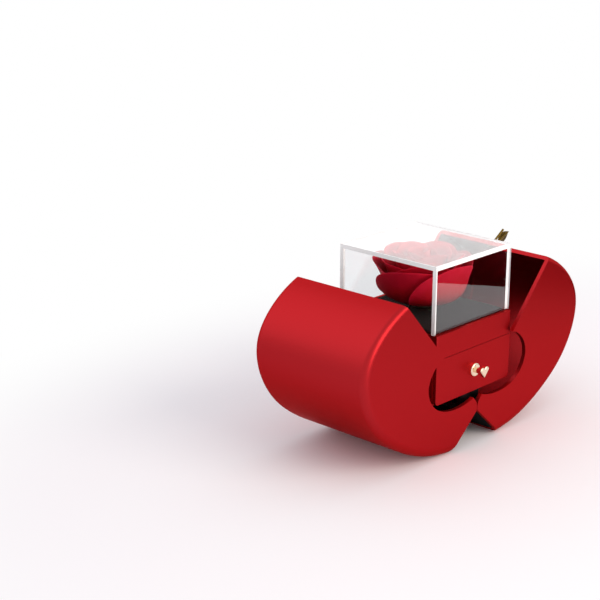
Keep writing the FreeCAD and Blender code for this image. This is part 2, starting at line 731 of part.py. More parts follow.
def drawer_insert():
    """Flocked foam pad with a crowned top and a row of ring slots, behind room for the knob's screw."""
    half = TRAY_WIDTH / 2 - TRAY_WALL - INSERT_FIT
    front = BAY_FRONT + TRAY_WALL + INSERT_SCREW_ROOM
    rear = BAY_FRONT + TRAY_LENGTH - TRAY_WALL - INSERT_FIT
    bottom = TRAY_BOTTOM + TRAY_FLOOR
    top = bottom + INSERT_HEIGHT
    crown = Part.Arc(at(-half, top - INSERT_CROWN), at(0, top), at(half, top - INSERT_CROWN))
    edges = [
        Part.LineSegment(at(-half, bottom), at(-half, top - INSERT_CROWN)).toShape(),
        crown.toShape(),
        Part.LineSegment(at(half, top - INSERT_CROWN), at(half, bottom)).toShape(),
        Part.LineSegment(at(half, bottom), at(-half, bottom)).toShape(),
    ]
    pad = prism(edges, front, rear - front)
    first = (front + rear) / 2 - RING_SLOT_PITCH * (RING_SLOT_COUNT - 1) / 2
    slots = []
    for index in range(RING_SLOT_COUNT):
        y = first + index * RING_SLOT_PITCH
        slots.append(box(
            Vec(-RING_SLOT_LENGTH / 2, y - RING_SLOT_WIDTH / 2, top - RING_SLOT_DEPTH),
            Vec(RING_SLOT_LENGTH / 2, y + RING_SLOT_WIDTH / 2, top + HAIR),
        ))
    return pad.cut(slots)


def knob_base():
    """Round gold base on the drawer front."""
    base = rod(KNOB_BASE_DIAMETER, KNOB_BASE_HEIGHT, Vec(), Z_AXIS)
    base = base.makeFillet(KNOB_BASE_ROUND, [edge_at(base, KNOB_BASE_HEIGHT)])
    base = base.cut(rod(SCREW_DIAMETER + 2 * SCREW_FIT, KNOB_BASE_HEIGHT, Vec(), Z_AXIS))
    base.rotate(Vec(), X_AXIS, 90)
    base.translate(Vec(0, BLOCK_FRONT, KNOB_HEIGHT))
    return base


def knob_heart():
    """Heart-shaped gold head with its neck, threaded onto the screw."""
    half = KNOB_HEART_WIDTH / 2
    lobe_radius = half / 2
    centre_height = KNOB_HEART_HEIGHT / 2 - lobe_radius
    notch = at(0, KNOB_HEART_HEIGHT / 2 - KNOB_HEART_NOTCH)
    tip = at(0, -KNOB_HEART_HEIGHT / 2)
    side = at(half, centre_height)
    mirrored_side = at(-half, centre_height)
    lobe_top = at(lobe_radius, KNOB_HEART_HEIGHT / 2)
    mirrored_top = at(-lobe_radius, KNOB_HEART_HEIGHT / 2)
    edges = [
        Part.Arc(notch, lobe_top, side).toShape(),
        Part.LineSegment(side, tip).toShape(),
        Part.LineSegment(tip, mirrored_side).toShape(),
        Part.Arc(mirrored_side, mirrored_top, notch).toShape(),
    ]
    head = prism(edges, 0, KNOB_HEART_THICKNESS)
    front_edges = [edge for edge in head.Edges if edge.BoundBox.YMax < HAIR]
    head = head.makeFillet(KNOB_HEART_ROUND, front_edges)
    neck = rod(KNOB_NECK_DIAMETER, KNOB_NECK_LENGTH, Vec(0, KNOB_HEART_THICKNESS, 0), Y_AXIS)
    knob = joined(head, neck)
    knob.translate(Vec(0, BLOCK_FRONT - KNOB_TIP, KNOB_HEIGHT))
    thread_start = BLOCK_FRONT - KNOB_BASE_HEIGHT - KNOB_SCREW_BITE - SCREW_FIT
    return knob.cut(knob_screw_hole(SCREW_DIAMETER + 2 * SCREW_FIT, thread_start, KNOB_SCREW_BITE + SCREW_FIT))


def knob_screw():
    """Screw from inside the tray through tray and front panel into the knob."""
    one = screw(TRAY_WALL + DRAWER_FRONT_THICKNESS + KNOB_BASE_HEIGHT + KNOB_SCREW_BITE)
    one.rotate(Vec(), X_AXIS, -90)
    one.translate(Vec(0, BAY_FRONT + TRAY_WALL, KNOB_HEIGHT))
    return one


# Clear cover

def cover_panes():
    """Five bonded panes: front and rear across the width, sides between them, top over all."""
    half = COVER_WIDTH / 2
    rear = COVER_FRONT + COVER_DEPTH
    wall_top = BLOCK_TOP + COVER_HEIGHT - COVER_WALL
    front_inside = COVER_FRONT + COVER_WALL
    rear_inside = rear - COVER_WALL
    left = box(Vec(-half, front_inside, BLOCK_TOP), Vec(-half + COVER_WALL, rear_inside, wall_top))
    return {
        "cover_front_pane": box(Vec(-half, COVER_FRONT, BLOCK_TOP), Vec(half, front_inside, wall_top)),
        "cover_rear_pane": box(Vec(-half, rear_inside, BLOCK_TOP), Vec(half, rear, wall_top)),
        "cover_left_pane": left,
        "cover_right_pane": mirrored(left),
        "cover_top_pane": box(Vec(-half, COVER_FRONT, wall_top), Vec(half, rear, wall_top + COVER_WALL)),
    }


# Stem and leaf

def crown_seat():
    """Point of the crown under the stem, a little behind mid depth, and the crown's lean there."""
    curve = outline(0)
    upright = Part.LineSegment(at(STEM_X, WIDEST_HEIGHT), at(STEM_X, CROWN_HEIGHT + OVERRUN))
    crossing = curve.toShape().distToShape(upright.toShape())[1][0][0]
    along = curve.tangent(curve.parameter(crossing))[0]
    lean = -math.degrees(math.atan2(along.z, along.x))
    return crossing + Y_AXIS * (MID_DEPTH + STEM_SETBACK), lean


def on_crown(shape, lean):
    """Upright shape at the origin, leaned away from the split plane and set on the crown."""
    seat = crown_seat()[0]
    shape.rotate(Vec(), Y_AXIS, lean)
    shape.translate(seat)
    return shape


def square_to_crown(shape):
    """Upright shape at the origin, set square on the crown."""
    return on_crown(shape, crown_seat()[1])


def stem():
    """Gold stem: leaning bar, collar on the crown and a thread through the wall."""
    collar = rod(STEM_COLLAR_DIAMETER, STEM_COLLAR_HEIGHT, Vec(0, 0, STEM_SEAT_GAP), Z_AXIS)
    thread_length = SHELL_WALL + STEM_SEAT_GAP + NUT_HEIGHT + STEM_THREAD_END
    thread = rod(STEM_DIAMETER, thread_length + STEM_SEAT_GAP, Vec(0, 0, -thread_length), Z_AXIS)
    bar = rod(STEM_DIAMETER, STEM_LENGTH, Vec(0, 0, STEM_SEAT_GAP + STEM_COLLAR_HEIGHT / 2), Z_AXIS)
    return joined(square_to_crown(collar), square_to_crown(thread), on_crown(bar, STEM_LEAN))


def stem_hole():
    """Cutter for the stem's thread through the shell."""
    return square_to_crown(rod(STEM_DIAMETER + 2 * SCREW_FIT, 2 * OVERRUN, Vec(0, 0, -OVERRUN), Z_AXIS))


def stem_nut():
    """Hexagonal nut on the stem's thread inside the shell."""
    corner = NUT_ACROSS_FLATS / math.sqrt(3)
    points = []
    for index in range(6):
        turn = math.radians(60 * index)
        points.append(Vec(corner * math.cos(turn), corner * math.sin(turn), 0))
    nut = Part.Face(Part.makePolygon(points + points[:1])).extrude(Z_AXIS * NUT_HEIGHT)
    nut = nut.cut(rod(STEM_DIAMETER + 2 * SCREW_FIT, NUT_HEIGHT, Vec(), Z_AXIS))
    nut.translate(Vec(0, 0, -SHELL_WALL - STEM_SEAT_GAP - NUT_HEIGHT))
    return square_to_crown(nut)


def leaf():
    """Pointed gold leaf whose widest place meets the stem, its blade facing the front."""
    half = LEAF_WIDTH / 2
    ends = [at(0, -LEAF_LENGTH / 2), at(0, LEAF_LENGTH / 2)]
    sides = [Part.Arc(ends[0], at(side * half, 0), ends[1]).toShape() for side in (1, -1)]
    blade = prism(sides, -LEAF_THICKNESS / 2, LEAF_THICKNESS)
    blade.rotate(Vec(), Y_AXIS, LEAF_TILT)
    tilt = math.radians(LEAF_TILT)
    arc_radius = (LEAF_LENGTH ** 2 / 4 + half ** 2) / LEAF_WIDTH
    reach = arc_radius - (arc_radius - half) * math.cos(tilt)
    blade.translate(at(STEM_DIAMETER / 2 + LEAF_STEM_GAP + reach, LEAF_MIDDLE_ON_STEM))
    return on_crown(blade, STEM_LEAN)


# Assembly

def half_pieces(tooth_offset):
    """Pieces of a half, drawn as the right half."""
    front_arm = hinge_arm(tooth_offset)
    return {
        "shell": shell(),
        "base_plate": base_plate(),
        "front_gear": front_arm,
        "rear_gear": mirrored_in_depth(front_arm),
        "gear_screws": hinge_arm_screws(),
    }


def swung(shape, side):
    """Piece of a half swung open about its shaft."""
    opened = shape.copy()
    opened.rotate(Vec(side * PIVOT_X, 0, SHAFT_HEIGHT), Y_AXIS, side * OPEN_ANGLE)
    return opened


def all_pieces():
    """Every piece by its name, with the box open."""
    pieces = {
        "block_housing": block_housing(),
        "flower_bed": flower_bed(),
        "rose_calyx": rose_calyx(),
        "rose_core": rose_bud(),
        "front_hinge_bracket": hinge_bracket(),
        "rear_hinge_bracket": mirrored_in_depth(hinge_bracket()),
        "bracket_screws": bracket_screws(),
        "right_hinge_shaft": hinge_shaft(),
        "left_hinge_shaft": mirrored(hinge_shaft()),
        "shaft_clips": shaft_clips(),
        "drawer_front": drawer_front(),
        "drawer_tray": drawer_tray(),
        "drawer_insert": drawer_insert(),
        "knob_base": knob_base(),
        "knob_heart": knob_heart(),
        "knob_screw": knob_screw(),
    }
    pieces["rose_outer_petals"] = petal_whorl(
        0, OUTER_PETALS, at(OUTER_BELLY_RADIUS, OUTER_BELLY_HEIGHT), at(OUTER_RIM_RADIUS, OUTER_RIM_HEIGHT), 0
    )
    pieces["rose_middle_petals"] = petal_whorl(
        1,
        MIDDLE_PETALS,
        at(MIDDLE_BELLY_RADIUS, MIDDLE_BELLY_HEIGHT),
        at(MIDDLE_RIM_RADIUS, MIDDLE_RIM_HEIGHT),
        180 / MIDDLE_PETALS,
    )
    pieces["rose_inner_petals"] = petal_whorl(
        2, INNER_PETALS, at(INNER_BELLY_RADIUS, INNER_BELLY_HEIGHT), at(INNER_RIM_RADIUS, INNER_RIM_HEIGHT), 0
    )
    pieces.update(cover_panes())
    right = half_pieces(0)
    right["shell"] = right["shell"].cut(stem_hole())
    for name, shape in right.items():
        pieces["right_" + name] = swung(shape, 1)
    for name, shape in half_pieces(0.5).items():
        pieces["left_" + name] = swung(mirrored(shape), -1)
    for name, shape in {"stem": stem(), "leaf": leaf(), "stem_nut": stem_nut()}.items():
        pieces[name] = swung(shape, 1)
    return pieces


def set_down(pieces):
    """Stand the open halves on the floor over the origin, midway between the knob's tip and the back."""
    lowest = pieces["right_shell"].optimalBoundingBox().ZMin
    move = Vec(0, (KNOB_REACH - SHELL_DEPTH) / 2, -lowest)
    for shape in pieces.values():
        shape.translate(move)


def main():
    """Write one file for each piece."""
    pieces = all_pieces()
    set_down(pieces)
    os.makedirs("parts", exist_ok=True)
    for name, shape in pieces.items():
        shape.exportStep(f"parts/{name}.step")


main()
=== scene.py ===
"""Apple gift box, dressed: lacquered halves, a preserved rose under clear panes, and gold trim.

Lengths are in metres, in the frame of the solids. Sizes of soft and thin pieces are fields of their
class, in millimetres, and are turned to metres where the mesh is made.
"""

import logging
import math
import random
from abc import ABC, abstractmethod
from dataclasses import dataclass
from enum import Enum
from functools import cached_property, lru_cache
from typing import Iterable, Mapping, Sequence

import bpy
from mathutils import Matrix, Vector, noise


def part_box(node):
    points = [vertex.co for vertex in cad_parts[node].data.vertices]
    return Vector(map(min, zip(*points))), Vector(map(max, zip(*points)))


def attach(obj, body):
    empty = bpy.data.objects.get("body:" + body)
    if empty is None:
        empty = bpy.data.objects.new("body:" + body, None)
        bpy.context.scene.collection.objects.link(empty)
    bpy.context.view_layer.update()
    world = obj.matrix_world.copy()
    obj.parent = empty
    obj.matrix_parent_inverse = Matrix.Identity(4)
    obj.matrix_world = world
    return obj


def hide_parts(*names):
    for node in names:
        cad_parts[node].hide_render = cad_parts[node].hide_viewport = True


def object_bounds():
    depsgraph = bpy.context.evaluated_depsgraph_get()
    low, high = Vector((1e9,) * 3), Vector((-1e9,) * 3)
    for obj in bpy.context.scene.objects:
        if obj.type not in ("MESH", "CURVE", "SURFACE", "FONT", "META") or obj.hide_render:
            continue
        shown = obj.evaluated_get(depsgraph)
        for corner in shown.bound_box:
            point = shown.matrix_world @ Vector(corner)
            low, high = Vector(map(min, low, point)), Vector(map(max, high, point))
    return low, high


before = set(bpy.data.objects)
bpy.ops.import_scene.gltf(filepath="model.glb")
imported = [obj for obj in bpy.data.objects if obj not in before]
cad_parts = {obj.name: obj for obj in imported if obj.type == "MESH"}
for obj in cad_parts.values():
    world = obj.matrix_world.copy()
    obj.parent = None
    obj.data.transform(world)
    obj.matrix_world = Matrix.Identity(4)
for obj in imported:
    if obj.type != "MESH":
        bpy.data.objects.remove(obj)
CAD_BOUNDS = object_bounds()
LOG = logging.getLogger("apple_gift_box")
MM = 0.001
SIDES = ("left", "right")
WHITE = "#FFFFFF"
# A wave texture turns through this many radians in each unit of its place.
WAVE_RADIANS = 20.0

Colour = tuple[float, float, float, float]
Inputs = Mapping[str | int, object]
Point = tuple[float, float, float]
Quad = tuple[int, int, int, int]
Pair = tuple[float, float]


# Shared tools


def linear(hex_colour: str) -> Colour:
    """Turns an sRGB hex colour to linear, by the curve of the sRGB standard.

    Args:
        hex_colour: Colour written as #RRGGBB.

    Returns:
        Linear red, green and blue, with full alpha.
    """
    channels = [int(hex_colour[place : place + 2], 16) / 255 for place in (1, 3, 5)]
    straight = [c / 12.92 if c <= 0.04045 else ((c + 0.055) / 1.055) ** 2.4 for c in channels]
    return (straight[0], straight[1], straight[2], 1.0)


def per_metre(size_mm: float) -> float:
    """Texture scale whose features have a size in millimetres."""
    return 1 / (size_mm * MM)


def smooth_step(value: float) -> float:
    """Value held between 0 and 1 with level ends."""
    held = min(1.0, max(0.0, value))
    return held * held * (3 - 2 * held)


def spread(low: float, high: float, count: int) -> list[float]:
    """Evenly spaced values from low to high."""
    return [low + (high - low) * index / (count - 1) for index in range(count)]


def middle(node: str) -> Vector:
    """Middle of a node's box."""
    low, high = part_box(node)
    return (Vector(low) + Vector(high)) / 2


def empty_tree(owner: bpy.types.Material | bpy.types.World) -> bpy.types.NodeTree:
    """Turns on the nodes of a material or a world, with none in the tree.

    Args:
        owner: Material or world.

    Returns:
        Its empty tree.
    """
    owner.use_nodes = True
    owner.node_tree.nodes.clear()
    return owner.node_tree


def add_node(
    tree: bpy.types.NodeTree, kind: str, inputs: Inputs | None = None, **settings: object
) -> bpy.types.Node:
    """Adds a node with its settings, values and links.

    Args:
        tree: Tree that the node goes into.
        kind: Node type without its ShaderNode prefix.
        inputs: Input name or number, with a value for it or a socket to link to it.
        **settings: Attributes of the node itself.

    Returns:
        The new node.
    """
    made = tree.nodes.new("ShaderNode" + kind)
    for name, value in settings.items():
        setattr(made, name, value)
    for key, value in (inputs or {}).items():
        if isinstance(value, bpy.types.NodeSocket):
            tree.links.new(value, made.inputs[key])
        else:
            made.inputs[key].default_value = value
    return made


def set_ramp(node: bpy.types.Node, stops: Sequence[tuple[float, str]]) -> bpy.types.NodeSocket:
    """Sets the stops of a colour ramp.

    Args:
        node: Colour ramp.
        stops: Place and hex colour of each stop, in order.

    Returns:
        The ramp's colour socket.
    """
    elements = node.color_ramp.elements
    while len(elements) < len(stops):
        elements.new(1.0)
    for element, (place, hex_colour) in zip(elements, stops):
        element.position = place
        element.color = linear(hex_colour)
    return node.outputs[0]


def mesh_piece(name: str, points: Sequence[Point], faces: Sequence[Sequence[int]]) -> bpy.types.Object:
    """Makes a smooth-shaded mesh object.

    Args:
        name: Piece name.
        points: Vertices in metres.
        faces: Vertex numbers of each face.

    Returns:
        The new object, in the scene.
    """
    mesh = bpy.data.meshes.new(name)
    mesh.from_pydata(points, [], faces)
    mesh.update()
    mesh.shade_smooth()
    piece = bpy.data.objects.new(name, mesh)
    bpy.context.scene.collection.objects.link(piece)
    return piece


def thicken(piece: bpy.types.Object, name: str, thickness_mm: float) -> None:
    """Gives a sheet its thickness, half to each side.

    Args:
        piece: Sheet.
        name: Name of its modifier.
        thickness_mm: Thickness in millimetres.
    """
    shell = piece.modifiers.new(name, "SOLIDIFY")
    shell.thickness = thickness_mm * MM
    shell.offset = 0.0


def grid_faces(rows: int, columns: int, first: int = 0) -> list[Quad]:
    """Faces of a grid of points that is stored row by row.

    Args:
        rows: Number of points down the grid.
        columns: Number of points in a row.
        first: Number of the grid's first vertex.

    Returns:
        Quads of vertex numbers.
    """
    faces = []
    for row in range(rows - 1):
        for column in range(columns - 1):
            corner = first + row * columns + column
            faces.append((corner, corner + 1, corner + columns + 1, corner + columns))
    return faces


def grid_rim(rows: int, columns: int) -> list[int]:
    """Goes once round the rim of a grid, from its first corner.

    Args:
        rows: Number of points down the grid.
        columns: Number of points in a row.

    Returns:
        Vertex numbers in order.
    """
    rim = list(range(columns))
    rim += [row * columns + columns - 1 for row in range(1, rows)]
    rim += [(rows - 1) * columns + column for column in range(columns - 2, -1, -1)]
    rim += [row * columns for row in range(rows - 2, 0, -1)]
    return rim


# Finishes


class Finish(ABC):
    """A surface finish that is made once and shared by the pieces that have it."""

    name: str

    @lru_cache(maxsize=None)
    def material(self) -> bpy.types.Material:
        """Makes the finish's material.

        Returns:
            The material, the same one at each call.
        """
        made = bpy.data.materials.new(self.name)
        tree = empty_tree(made)
        shader = add_node(tree, "BsdfPrincipled", self.inputs(tree))
        add_node(tree, "OutputMaterial", {"Surface": shader.outputs[0]})
        return made

    @abstractmethod
    def inputs(self, tree: bpy.types.NodeTree) -> Inputs:
        """Makes the finish's textures.

        Args:
            tree: Material's node tree.

        Returns:
            Values and links of its principled shader.
        """

    def put_on(self, pieces: Iterable[bpy.types.Object]) -> None:
        """Gives pieces this finish.

        Args:
            pieces: Objects to dress.
        """
        for piece in pieces:
            if not piece.material_slots:
                piece.data.materials.append(self.material())
            for slot in piece.material_slots:
                slot.material = self.material()


@dataclass(frozen=True)
class SprayedLacquer(Finish):
    """Red metallic lacquer sprayed on moulded ABS under a thin satin clear coat.

    The fine aluminium flake under the red dye tints all that it reflects, so faces that look at the light
    glow and the rest stays deep, with a soft broad gleam along the rounding. The spray leaves faint peel.
    Real flake is finer than a tenth of a millimetre, so it is drawn coarser to show.
    """

    name: str = "sprayed_red_metallic_lacquer"
    colour: str = "#AB2026"
    grazing_colour: str = "#E03638"
    flake_mm: float = 0.4
    flake_tones: Pair = (0.94, 1.06)
    peel_mm: float = 1.6
    peel_depth_mm: float = 0.05
    peel_strength: float = 0.05
    metallic: float = 0.95
    roughness: float = 0.41
    roughness_play: float = 0.04
    coat: float = 0.06
    coat_roughness: float = 0.2

    def inputs(self, tree: bpy.types.NodeTree) -> Inputs:
        """Makes flake and peel.

        Args:
            tree: Material's node tree.

        Returns:
            Values and links of its principled shader.
        """
        place = add_node(tree, "TexCoord").outputs["Object"]
        flake = add_node(
            tree, "TexNoise", {"Vector": place, "Scale": per_metre(self.flake_mm), "Detail": 1.0}
        ).outputs[0]
        dark, bright = self.flake_tones
        sparkle = add_node(tree, "MapRange", {"Value": flake, "To Min": dark, "To Max": bright})
        tint = add_node(tree, "HueSaturation", {"Color": linear(self.colour), "Value": sparkle.outputs[0]})
        smooth = self.roughness - self.roughness_play
        rough = self.roughness + self.roughness_play
        gleam = add_node(tree, "MapRange", {"Value": flake, "To Min": smooth, "To Max": rough})
        peel = add_node(
            tree, "TexNoise", {"Vector": place, "Scale": per_metre(self.peel_mm), "Detail": 1.0}
        ).outputs[0]
        depth = self.peel_depth_mm * MM
        bump = add_node(tree, "Bump", {"Height": peel, "Strength": self.peel_strength, "Distance": depth})
        return {
            "Base Color": tint.outputs[0],
            "Roughness": gleam.outputs[0],
            "Normal": bump.outputs[0],
            "Metallic": self.metallic,
            "Specular Tint": linear(self.grazing_colour),
            "Coat Weight": self.coat,
            "Coat Roughness": self.coat_roughness,
        }


@dataclass(frozen=True)
class MouldedPlastic(Finish):
    """Moulded plastic with a fine spark-eroded grain that breaks up its shine."""

    name: str
    colour: str
    grain_mm: float = 0.6
    grain_depth_mm: float = 0.05
    grain_strength: float = 0.2
    grain_tones: Pair = (0.85, 1.15)
    roughness: float = 0.5
    gloss: float = 0.5

    def inputs(self, tree: bpy.types.NodeTree) -> Inputs:
        """Makes the grain.

        Args:
            tree: Material's node tree.

        Returns:
            Values and links of its principled shader.
        """
        place = add_node(tree, "TexCoord").outputs["Object"]
        grain = add_node(
            tree, "TexNoise", {"Vector": place, "Scale": per_metre(self.grain_mm), "Detail": 3.0}
        ).outputs[0]
        dark, bright = self.grain_tones
        shade = add_node(tree, "MapRange", {"Value": grain, "To Min": dark, "To Max": bright})
        tone = add_node(tree, "HueSaturation", {"Color": linear(self.colour), "Value": shade.outputs[0]})
        depth = self.grain_depth_mm * MM
        bump = add_node(tree, "Bump", {"Height": grain, "Strength": self.grain_strength, "Distance": depth})
        return {
            "Base Color": tone.outputs[0],
            "Normal": bump.outputs[0],
            "Roughness": self.roughness,
            "Specular IOR Level": self.gloss,
        }


@dataclass(frozen=True)
class PolishedPlate(Finish):
    """Plated or blackened metal, polished first: clear reflections with hair-fine wiping marks."""

    name: str
    colour: str
    roughness: float
    roughness_shares: Pair = (0.7, 1.4)
    wipe_mm: float = 0.8
    wipe_squeeze: Point = (1.0, 1.0, 6.0)

    def inputs(self, tree: bpy.types.NodeTree) -> Inputs:
        """Makes the wiping marks.

        Args:
            tree: Material's node tree.

        Returns:
            Values and links of its principled shader.
        """
        place = add_node(tree, "TexCoord").outputs["Object"]
        drawn = add_node(tree, "Mapping", {"Vector": place, "Scale": self.wipe_squeeze}).outputs[0]
        wipe = add_node(
            tree, "TexNoise", {"Vector": drawn, "Scale": per_metre(self.wipe_mm), "Detail": 2.0}
        ).outputs[0]
        smooth, rough = (self.roughness * share for share in self.roughness_shares)
        gleam = add_node(tree, "MapRange", {"Value": wipe, "To Min": smooth, "To Max": rough})
        return {
            "Base Color": linear(self.colour),
            "Roughness": gleam.outputs[0],
            "Metallic": 1.0,
        }


class Facing(Enum):
    """Axis that the broad faces of a pane look along."""

    SIDE = 0
    FRONT = 1
    TOP = 2


@dataclass(frozen=True)
class CastAcrylic(Finish):
    """Cast acrylic sheet: clear polished faces, and sawn edges whose fine scratches scatter light white."""

    facing: Facing
    colour: str = "#FCFDFE"
    ior: float = 1.49
    edge_limit: float = 0.5
    edge_roughness: float = 0.4
    edge_scatter: float = 0.95

    @property
    def name(self) -> str:
        """Name of the material."""
        return "cast_acrylic_" + self.facing.name.lower()

    def inputs(self, tree: bpy.types.NodeTree) -> Inputs:
        """Tells the sawn edges from the clear faces.

        Args:
            tree: Material's node tree.

        Returns:
            Values and links of its principled shader.
        """
        normal = add_node(tree, "SeparateXYZ", {"Vector": add_node(tree, "TexCoord").outputs["Normal"]})
        square = add_node(tree, "Math", {0: normal.outputs[self.facing.value]}, operation="ABSOLUTE")
        edge = add_node(tree, "Math", {0: square.outputs[0], 1: self.edge_limit}, operation="LESS_THAN")
        sawn = edge.outputs[0]
        rough = add_node(tree, "Math", {0: sawn, 1: self.edge_roughness}, operation="MULTIPLY")
        clear = add_node(tree, "MapRange", {"Value": sawn, "To Min": 1.0, "To Max": 1 - self.edge_scatter})
        return {
            "Base Color": linear(self.colour),
            "Roughness": rough.outputs[0],
            "Transmission Weight": clear.outputs[0],
            "IOR": self.ior,
        }


@dataclass(frozen=True)
class FlockedFoam(Finish):
    """Foam sprayed with short nylon flock: no gloss, a faint pale sheen at grazing angles and a fine pile.

    The real fibres are under a tenth of a millimetre thick, so the pile is drawn coarser than life to show.
    """

    name: str = "flocked_black_foam"
    colour: str = "#060505"
    worn_colour: str = "#0D0B0C"
    patch_mm: float = 9.0
    patch_span: Pair = (0.4, 0.7)
    pile_mm: float = 0.45
    pile_depth_mm: float = 0.25
    pile_strength: float = 0.6
    roughness: float = 1.0
    gloss: float = 0.1
    sheen: float = 0.04
    sheen_roughness: float = 0.5

    def inputs(self, tree: bpy.types.NodeTree) -> Inputs:
        """Makes the pile, and patches of turned fibre.

        Args:
            tree: Material's node tree.

        Returns:
            Values and links of its principled shader.
        """
        place = add_node(tree, "TexCoord").outputs["Object"]
        patch = add_node(
            tree, "TexNoise", {"Vector": place, "Scale": per_metre(self.patch_mm), "Detail": 3.0}
        ).outputs[0]
        tint = add_node(tree, "ValToRGB", {"Fac": patch})
        pile = add_node(
            tree, "TexNoise", {"Vector": place, "Scale": per_metre(self.pile_mm), "Detail": 4.0}
        ).outputs[0]
        depth = self.pile_depth_mm * MM
        bump = add_node(tree, "Bump", {"Height": pile, "Strength": self.pile_strength, "Distance": depth})
        return {
            "Base Color": set_ramp(tint, list(zip(self.patch_span, (self.colour, self.worn_colour)))),
            "Normal": bump.outputs[0],
            "Roughness": self.roughness,
            "Specular IOR Level": self.gloss,
            "Sheen Weight": self.sheen,
            "Sheen Roughness": self.sheen_roughness,
        }


@dataclass(frozen=True)
class PreservedPetal(Finish):
    """Rose petal kept soft with glycerine and dyed red: velvety, a little translucent, finely veined.

    Its colour is near black at the foot, which is painted shade deep in the cup, and lighter red at the thin
    rim, partly dye and partly painted light; the rim also passes some light, which makes it look warmer.
    """

    name: str = "preserved_rose_petal"
    # Colour stops from foot to rim: the near-black foot is painted shade, the light rim is partly painted
    # light.
    dye_and_painted_shade: tuple[tuple[float, str], ...] = ((0.1, "#3A0108"), (0.6, "#A60618"), (1.0, "#C81230"))
    blotch_mm: float = 5.0
    blotch_shift: float = 0.12
    petal_width_mm: float = 65.0
    vein_mm: float = 3.6
    vein_waver: float = 2.0
    vein_depth_mm: float = 0.2
    vein_strength: float = 0.12
    roughness: float = 0.62
    gloss: float = 0.12
    glow: float = 0.2
    glow_colours: Point = (1.0, 0.2, 0.15)
    glow_mm: float = 0.6

    def inputs(self, tree: bpy.types.NodeTree) -> Inputs:
        """Makes the run of colour from foot to rim, dye with painted shade at the foot and painted light at
        the rim, and the veins.

        Args:
            tree: Material's node tree.

        Returns:
            Values and links of its principled shader.
        """
        spot = add_node(tree, "TexCoord").outputs
        along = add_node(tree, "SeparateXYZ", {"Vector": spot["UV"]}).outputs[1]
        blotch = add_node(
            tree, "TexNoise", {"Vector": spot["Object"], "Scale": per_metre(self.blotch_mm), "Detail": 3.0}
        ).outputs[0]
        shift = add_node(
            tree, "MapRange", {"Value": blotch, "To Min": -self.blotch_shift, "To Max": self.blotch_shift}
        )
        # Run up the petal, shifted by blotches: near black at the foot as painted shade, lighter at the rim
        # as painted light.
        shade_run = add_node(tree, "Math", {0: along, 1: shift.outputs[0]}, operation="ADD")
        tint = add_node(tree, "ValToRGB", {"Fac": shade_run.outputs[0]})
        bands = self.petal_width_mm / self.vein_mm * math.tau / WAVE_RADIANS
        veins = add_node(
            tree,
            "TexWave",
            {"Vector": spot["UV"], "Scale": bands, "Distortion": self.vein_waver, "Detail": 2.0},
            bands_direction="X",
        ).outputs[1]
        depth = self.vein_depth_mm * MM
        bump = add_node(tree, "Bump", {"Height": veins, "Strength": self.vein_strength, "Distance": depth})
        return {
            "Base Color": set_ramp(tint, self.dye_and_painted_shade),
            "Normal": bump.outputs[0],
            "Roughness": self.roughness,
            "Specular IOR Level": self.gloss,
            "Subsurface Weight": self.glow,
            "Subsurface Radius": self.glow_colours,
            "Subsurface Scale": self.glow_mm * MM,
        }


@dataclass(frozen=True)
class DriedSepal(Finish):
    """Dried green calyx, darkened nearly to black as painted shade under the bloom: matt, mottled and a
    little rough to the touch.
    """

    name: str = "dried_rose_calyx"
    # Both greens are near black: painted shade under the bloom over a dried green.
    colour: str = "#12190B"
    shaded_dry_colour: str = "#1E260F"
    mottle_mm: float = 1.8
    mottle_span: Pair = (0.35, 0.7)
    mottle_depth_mm: float = 0.2
    mottle_strength: float = 0.3
    roughness: float = 0.75

    def inputs(self, tree: bpy.types.NodeTree) -> Inputs:
        """Makes the mottle.

        Args:
            tree: Material's node tree.

        Returns:
            Values and links of its principled shader.
        """
        place = add_node(tree, "TexCoord").outputs["Object"]
        mottle = add_node(
            tree, "TexNoise", {"Vector": place, "Scale": per_metre(self.mottle_mm), "Detail": 4.0}
        ).outputs[0]
        tint = add_node(tree, "ValToRGB", {"Fac": mottle})
        depth = self.mottle_depth_mm * MM
        bump = add_node(
            tree, "Bump", {"Height": mottle, "Strength": self.mottle_strength, "Distance": depth}
        )
        return {
            "Base Color": set_ramp(tint, list(zip(self.mottle_span, (self.colour, self.shaded_dry_colour)))),
            "Normal": bump.outputs[0],
            "Roughness": self.roughness,
        }


LACQUER = SprayedLacquer()
TRAY_PLASTIC = MouldedPlastic("moulded_red_abs", "#7E0D14", roughness=0.45)
BLACK_PLASTIC = MouldedPlastic("moulded_matt_black_abs", "#060606", roughness=0.9, gloss=0.12)
GEAR_PLASTIC = MouldedPlastic("moulded_black_acetal", "#0E0E10", roughness=0.45)
GOLD_PLATE = PolishedPlate("polished_pale_gold_plate", "#F0DCC0", roughness=0.1)
LEAF_GOLD = PolishedPlate("antiqued_gold_plate", "#66501F", roughness=0.25)
BLACK_STEEL = PolishedPlate("blackened_steel", "#2B2B2E", roughness=0.35)
FLOCK = FlockedFoam()
PETAL = PreservedPetal()
SEPAL = DriedSepal()


# Sub-assemblies


class SubAssembly(ABC):
    """A group of pieces that is built and dressed together."""

    @abstractmethod
    def build(self) -> list[bpy.types.Object]:
        """Builds and dresses the group.

        Returns:
            Its pieces.
        """

    def dressed(self, finish: Finish, *nodes: str) -> list[bpy.types.Object]:
        """Gives solids of the frame a finish.

        Args:
            finish: Finish that they get.
            *nodes: Names of the solids.

        Returns:
            Their objects.
        """
        pieces = [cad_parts[node] for node in nodes]
        finish.put_on(pieces)
        return pieces


@dataclass
class HalfShells(SubAssembly):
    """The two swinging halves with their base plates."""

    def build(self) -> list[bpy.types.Object]:
        """Dresses shells and base plates.

        Returns:
            Their objects.
        """
        pieces = []
        for side in SIDES:
            pieces += self.dressed(LACQUER, f"{side}_shell")
            pieces += self.dressed(BLACK_PLASTIC, f"{side}_base_plate")
        return pieces


